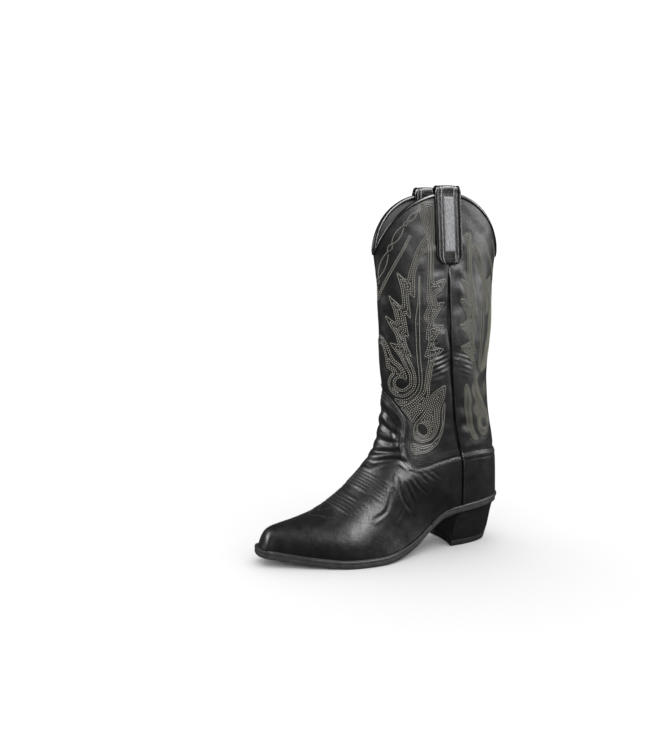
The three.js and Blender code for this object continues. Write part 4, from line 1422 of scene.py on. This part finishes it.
def strap_profile(across):
    """Height of the strap's face over its width: rolled edges and sewn grooves."""
    place = np.abs(across)
    face = STRAP_THICKNESS + 0.95 * np.exp(-((place - 12.6) / 1.25) ** 4)
    face -= 0.65 * np.exp(-((place - 10.3) / 0.55) ** 2)
    face -= 0.55 * np.exp(-((place - 7.0) / 0.7) ** 2)
    return face


def strap_width(along, total):
    """Half width along the strap, tapering to round ends."""
    half = STRAP_WIDTH / 2
    short = np.clip(1 - np.minimum(along, total - along) / 8.5, 0, 1)
    return half * (1 - 0.42 * short ** 2)


def make_strap(word, side):
    """One strap from its foot outside the shaft, over the loop and down the inside."""
    path = strap_path()
    step = np.linalg.norm(np.diff(path, axis=0), axis=1)
    along = np.concatenate([[0], np.cumsum(step)])
    run = np.gradient(path, axis=0)
    for _ in range(3):
        run[1:-1] = (run[:-2] + run[1:-1] + run[2:]) / 3
    run /= np.linalg.norm(run, axis=1, keepdims=True)
    outward = np.stack([run[:, 1], -run[:, 0]], 1)
    across = np.linspace(-1, 1, 47)
    across = np.sign(across) * np.abs(across) ** 0.9 * STRAP_WIDTH / 2
    face = strap_profile(across)
    edge = np.clip(1 - (STRAP_WIDTH / 2 - np.abs(across)) / 1.3, 0, 1)
    face = lerp(face, 1.2, edge ** 2)
    under = 0.5 * edge ** 2
    rings = []
    for k, (out, up) in enumerate(path):
        fore = seam_at(min(up, SEAM_TOP_UP))[0]
        widen = strap_width(along[k], along[-1]) / (STRAP_WIDTH / 2)
        thin = 1 - 0.45 * np.clip(1 - min(along[k], along[-1] - along[k]) / 1.6, 0, 1) ** 2
        top, low = [], []
        arch = smooth(up, LOOP_FOOT - 1, STRAP_TOP - 2)
        for x, high, below in zip(across, face, under):
            corner = (abs(x) / (STRAP_WIDTH / 2)) ** 4 * arch
            for rise, ring in ((high * thin, top), (below, low)):
                ring.append([side * (out + outward[k, 0] * rise),
                             -fore + x * widen * (1 - 0.05 * corner),
                             up + outward[k, 1] * rise - 2.3 * corner])
        rings.append(top + low[::-1])
    nodes = [f"pull_strap_{word}_{part}" for part in ("outer", "inner", "loop")]
    strap = sweep(f"pull_strap_{word}", rings, TRIM_LEATHER, nodes, body=None)
    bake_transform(strap)


def make_inlay(word, side):
    """The suede strip sewn down the middle of the strap's outer leg."""
    heights = np.linspace(INLAY_BOTTOM, INLAY_TOP, 110)
    across = np.linspace(-INLAY_HALF, INLAY_HALF, 25)
    rings = []
    for up in heights:
        fore, _, half = seam_at(up)
        base = half + STRAP_OUT + STRAP_THICKNESS
        end = min(up - INLAY_BOTTOM, INLAY_TOP - up)
        top, low = [], []
        for x in across:
            rim = min(INLAY_HALF - abs(x), end)
            crown = 0.25 + 0.6 * smooth(rim, 0, 1.4)
            crown += 0.10 * float(noise(x, up, 2.1, 51)) * smooth(rim, 0, 1)
            top.append([side * (base + crown), -fore + x, up])
            low.append([side * (base - 0.35), -fore + x, up])
        rings.append(top + low[::-1])
    sweep(f"pull_strap_{word}_inlay_suede", rings, INLAY_SUEDE, [f"pull_strap_{word}_inlay"])


def sew_strap(word, side):
    """Rows down both sides of the inlay and the strap's edges, and across its foot."""
    thread = Thread(*STRAP_STITCH)
    heights = np.linspace(INLAY_BOTTOM - 1.2, 368.2, 80)
    seam = seam_at(heights)
    for x in (-6.3, 6.3, -10.4, 10.4):
        out = seam[:, 2] + STRAP_OUT + strap_profile(np.array([x]))[0] + 0.05
        points = np.stack([side * out, -seam[:, 0] + x, heights], 1)
        thread.run(points, np.tile([side, 0.0, 0.0], (len(points), 1)))
    for up in (INLAY_BOTTOM - 1.2, 305.5):
        fore, _, half = seam_at(up)
        x = np.linspace(-6.3, 6.3, 20)
        out = half + STRAP_OUT + strap_profile(x) + 0.05
        points = np.stack([side * out, -fore + x, np.full_like(x, up)], 1)
        thread.run(points, np.tile([side, 0.0, 0.0], (len(points), 1)))
    thread.piece(f"pull_strap_{word}_stitching", BLACK_THREAD, "trim_leather")


for word, side in (("lateral", 1), ("medial", -1)):
    make_strap(word, side)
    make_inlay(word, side)
    sew_strap(word, side)


# ---------------------------------------------------------------- bottom

WELT_START = 84.0
BOTTOM_ROWS = 260


def feather_side(side):
    heel = back(np.full(60, float(SEAM_ROWS)), side * np.linspace(0, 1, 60))[:-1]
    toe = front(np.linspace(SEAM_ROWS, TOE_ROW, BOTTOM_ROWS), np.full(BOTTOM_ROWS, float(side)))
    line = np.vstack([heel, toe])
    line = np.stack([np.abs(line[:, 0]), -line[:, 1]], 1)
    return resample(line, 1.3)[0]


FEATHER_SIDES = {side: feather_side(side) for side in (1, -1)}


def plan_side(side, margin):
    """The feather line moved outward, by a margin for each of its points."""
    line = FEATHER_SIDES[side]
    along = np.gradient(line, axis=0)
    for _ in range(4):
        along[1:-1] = (along[:-2] + 2 * along[1:-1] + along[2:]) / 4
    along[0], along[-1] = [1, 0], [-1, 0]
    along /= np.linalg.norm(along, axis=1, keepdims=True)
    out = np.maximum(line[:, 0] + along[:, 1] * margin, 0)
    return np.stack([out, line[:, 1] - along[:, 0] * margin], 1)


def margin_of(side):
    return height_at(SOLE_MARGIN, FEATHER_SIDES[side][:, 1])


def bottom_points(side, inset, rise, drawn_in=0.0):
    """A line along the bottom's edge, which may be drawn in under the heel seat."""
    heel_zone = 1 - smooth(FEATHER_SIDES[side][:, 1], 50, 66)
    line = plan_side(side, margin_of(side) - inset - drawn_in * heel_zone)
    return np.stack([side * line[:, 0], -line[:, 1], sole_at(line[:, 1]) + rise], 1)


# Section of the outsole's edge: [inset, rise].
OUTSOLE_PROFILE = [[6, 0.0], [1.3, 0.0], [0.45, 0.3], [0.1, 1.0], [0, 2.0], [0, 4.6],
                   [0.15, 5.05], [0.8, 5.16], [6, 5.16]]
# How far the outsole is drawn in under the heel seat.
HEEL_DRAWN_IN = 1.25


def make_outsole():
    """The sole plate, with its edge rounded over and its bottom bevelled."""
    sides = {side: [bottom_points(side, inset, rise, HEEL_DRAWN_IN) for inset, rise in OUTSOLE_PROFILE]
             for side in (1, -1)}
    count = min(len(sides[1][0]), len(sides[-1][0]))
    pick = {side: np.round(np.linspace(0, len(sides[side][0]) - 1, count)).astype(int)
            for side in (1, -1)}
    rings = []
    for i in range(count):
        lateral = [line[pick[1][i]] for line in sides[1]]
        medial = [line[pick[-1][i]] for line in sides[-1]]
        rings.append(medial[::-1] + lateral)
    shares = np.linspace(0, 1, 7)[1:-1, None]
    full = []
    for ring in rings:
        ring = np.array(ring)
        size = len(OUTSOLE_PROFILE)
        bottom = lerp(ring[size - 1], ring[size], shares)
        top = lerp(ring[-1], ring[0], shares)
        full.append(np.vstack([ring[:size], bottom, ring[size:], top]))
    sweep("outsole_plate", full, SOLE_EDGE, ["outsole"])


def edge_section(reach):
    """Section of the welt or rand, which reaches this far in under the upper: [inset, rise]."""
    return [[0.4, 5.2], [0.08, 5.35], [0, 6.1], [0.02, 7.2], [0.3, 7.9], [0.9, 8.12],
            [reach, 8.12], [reach, 5.2]]


def strip_rings(side, section, keep):
    lines = [bottom_points(side, inset, rise) for inset, rise in section]
    fores = FEATHER_SIDES[side][:, 1]
    return [[line[i] for line in lines] for i in range(len(fores)) if keep(fores[i])]


def make_welt():
    section = edge_section(9.0)
    keep = lambda fore: fore > WELT_START
    lateral, medial = strip_rings(1, section, keep), strip_rings(-1, section, keep)
    sweep("welt_strip", lateral + medial[::-1][1:], SOLE_EDGE, ["welt"])
    thread = Thread(*WELT_STITCH)
    for side in (1, -1):
        line = bottom_points(side, 2.1, 8.2)
        kept = (FEATHER_SIDES[side][:, 1] > WELT_START + 2) & (FEATHER_SIDES[side][:, 1] < 259)
        thread.run(line[kept], np.tile([0.0, 0.0, 1.0], (int(kept.sum()), 1)))
    thread.piece("welt_stitching", GREY_THREAD, "sole_leather")


def make_rand():
    section = edge_section(8.0)
    keep = lambda fore: fore < WELT_START + 0.4
    lateral, medial = strip_rings(1, section, keep), strip_rings(-1, section, keep)
    sweep("heel_rand_strip", medial[::-1] + lateral[1:], SOLE_EDGE, ["heel_rand"])


HEEL_TOP = {"up": 42.2, "breast": 53.0, "back": -5.0, "half": 30.4, "power": 2.3}
HEEL_FOOT = {"up": 0.0, "breast": 59.5, "back": 7.5, "half": 23.8, "power": 2.05}
HEEL_CUP = 3.0
HEEL_CAP_TOP = 6.5
LIFT_LINES = (15.0, 23.2, 31.4)
# The cap's edge is rounded at the ground and at its top: [height, how far in].
HEEL_CAP_SECTION = [
    [0, 0.8], [0.25, 0.3], [0.8, 0.05], [2, 0], [4, 0], [5.9, 0], [6.35, 0.15], [6.5, 0.5],
]


def heel_ring(share, up_at, shrink=0.0):
    """Plan of the heel block, round the back and along the hollow breast."""
    size = {key: lerp(HEEL_FOOT[key], HEEL_TOP[key], share) for key in HEEL_TOP}
    turn = np.linspace(0, math.pi, 81)
    c, s = np.cos(turn), np.sin(turn)
    half = size["half"] - shrink
    arc_out = half * np.sign(c) * np.abs(c) ** (2 / size["power"])
    depth = size["breast"] - size["back"] - 2 * shrink
    arc_fore = size["breast"] - shrink - depth * s
    x = np.linspace(-1, 1, 27)[1:-1]
    out = np.concatenate([arc_out, half * x])
    fore = np.concatenate([arc_fore, size["breast"] - shrink - HEEL_CUP * (1 - x * x)])
    return np.stack([out, -fore, up_at(fore)], 1)


def make_heel():
    """The lifts of the heel under one dyed and polished skin, and the rubber cap."""
    rings = []
    for share in np.linspace(0, 1, 60):
        up = lerp(HEEL_CAP_TOP + 0.2, HEEL_TOP["up"], share)
        groove = sum(0.10 * math.exp(-((up - line) / 0.28) ** 2) for line in LIFT_LINES)
        edge = 0.35 * max(0, 1 - share * 30 / 0.8)
        seat = lambda fore: lerp(up, sole_at(fore) - 0.15, smooth(share, 0.15, 1))
        rings.append(heel_ring(up / HEEL_TOP["up"], seat, groove + edge))
    sweep("heel_stack", rings, HEEL_STACK, [f"heel_lift_{k}" for k in (1, 2, 3, 4)])
    rings = []
    for up, shrink in HEEL_CAP_SECTION:
        rings.append(heel_ring(up / HEEL_TOP["up"], lambda fore: np.full_like(fore, up), shrink))
    cap = sweep("heel_cap_rubber", rings, HEEL_RUBBER, ["heel_cap"])
    sharpen(cap, 40)


make_outsole()
make_welt()
make_rand()
make_heel()
for name in ("outsole_plate", "heel_stack", "welt_strip", "heel_rand_strip"):
    sharpen(bpy.data.objects[name], 50)


# ---------------------------------------------------------------- finish of the frame's own nodes

def finish_nodes():
    """Gives the carried-over inner pieces their materials."""
    finishes = {
        "insole": NATURAL_LEATHER, "heel_sock": LINING_LEATHER, "vamp_lining": LINING_LEATHER,
        "vamp_interlining": CANVAS, "toe_box": NATURAL_LEATHER,
        "counter_stiffener": NATURAL_LEATHER, "cork_filler": CORK, "shank": STEEL,
        "heel_nail_": BRASS, "sole_peg_": WOOD,
    }
    for node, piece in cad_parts.items():
        for name, material in finishes.items():
            if node == name or (name.endswith("_") and node.startswith(name)):
                piece.data.materials.clear()
                piece.data.materials.append(material)


finish_nodes()


# ---------------------------------------------------------------- stage

def make_floor():
    mesh = bpy.data.meshes.new("floor")
    size, steps = 8.0, 8
    corners = np.linspace(-size, size, steps + 1)
    points = [(x, y, 0.0) for x in corners for y in corners]
    faces = []
    for i in range(steps):
        for j in range(steps):
            a = i * (steps + 1) + j
            faces.append([a, a + steps + 1, a + steps + 2, a + 1])
    mesh.from_pydata(points, [], faces)
    floor = bpy.data.objects.new("floor", mesh)
    bpy.context.scene.collection.objects.link(floor)
    look = Look("floor_paint", (0.92, 0.92, 0.92), 0.7, specular=0.0)
    mesh.materials.append(look.material)
    floor.visible_glossy = False


def add_light(name, place, target, size, power, colour=(1, 1, 1)):
    light = bpy.data.lights.new(name, "AREA")
    light.shape = "RECTANGLE"
    light.size, light.size_y = size
    light.energy = power
    light.color = colour
    lamp = bpy.data.objects.new(name, light)
    lamp.visible_diffuse = False
    lamp.location = place
    lamp.rotation_euler = (Vector(target) - Vector(place)).to_track_quat("-Z", "Y").to_euler()
    bpy.context.scene.collection.objects.link(lamp)


# Strength of the surround, for all light and for the boot's gloss.
SURROUND = 1.15
SURROUND_IN_GLOSS = 0.12


def make_world():
    """An even white surround, which the boot's gloss sees much darker, as with black flags."""
    world = bpy.data.worlds.new("studio")
    world.use_nodes = True
    tree = world.node_tree
    background = tree.nodes["Background"]
    background.inputs["Color"].default_value = (1, 1, 1, 1)
    path = tree.nodes.new("ShaderNodeLightPath")
    strength = tree.nodes.new("ShaderNodeMapRange")
    strength.inputs["To Min"].default_value = SURROUND
    strength.inputs["To Max"].default_value = SURROUND_IN_GLOSS
    tree.links.new(path.outputs["Is Glossy Ray"], strength.inputs["Value"])
    tree.links.new(strength.outputs[0], background.inputs["Strength"])
    world.cycles.sampling_method = "NONE"
    bpy.context.scene.world = world
    bpy.context.scene.view_settings.view_transform = "Standard"


CAMERA_SWING = 21.2
CAMERA_DIP = 8.6
CAMERA_PLAN = (869.5, -523.5, 330.0)
CAMERA_LENS = 44.64


def make_camera():
    """Looks back across the boot from beside and ahead of it, a little from above."""
    camera = bpy.data.cameras.new("camera")
    camera.lens = CAMERA_LENS
    camera.sensor_width = 36
    holder = bpy.data.objects.new("camera", camera)
    swing, dip = math.radians(CAMERA_SWING), math.radians(CAMERA_DIP)
    view = Vector((-math.cos(swing) * math.cos(dip), math.sin(swing) * math.cos(dip), -math.sin(dip)))
    holder.location = to_frame(CAMERA_PLAN)
    holder.rotation_euler = view.to_track_quat("-Z", "Y").to_euler()
    bpy.context.scene.collection.objects.link(holder)
    bpy.context.scene.camera = holder


make_floor()
make_world()
add_light("key", (1.5, 0.3, 1.2), (0, 0, 0.1), (0.9, 1.1), 62)
add_light("top", (0.6, 0.45, 1.3), (0, 0, 0.1), (0.8, 0.8), 32)
add_light("front", (-0.3, -1.5, 1.0), (0, 0, 0.15), (0.6, 0.9), 45)
add_light("back", (0.6, 1.5, 0.8), (0, 0, 0.2), (0.5, 1.2), 30)
make_camera()
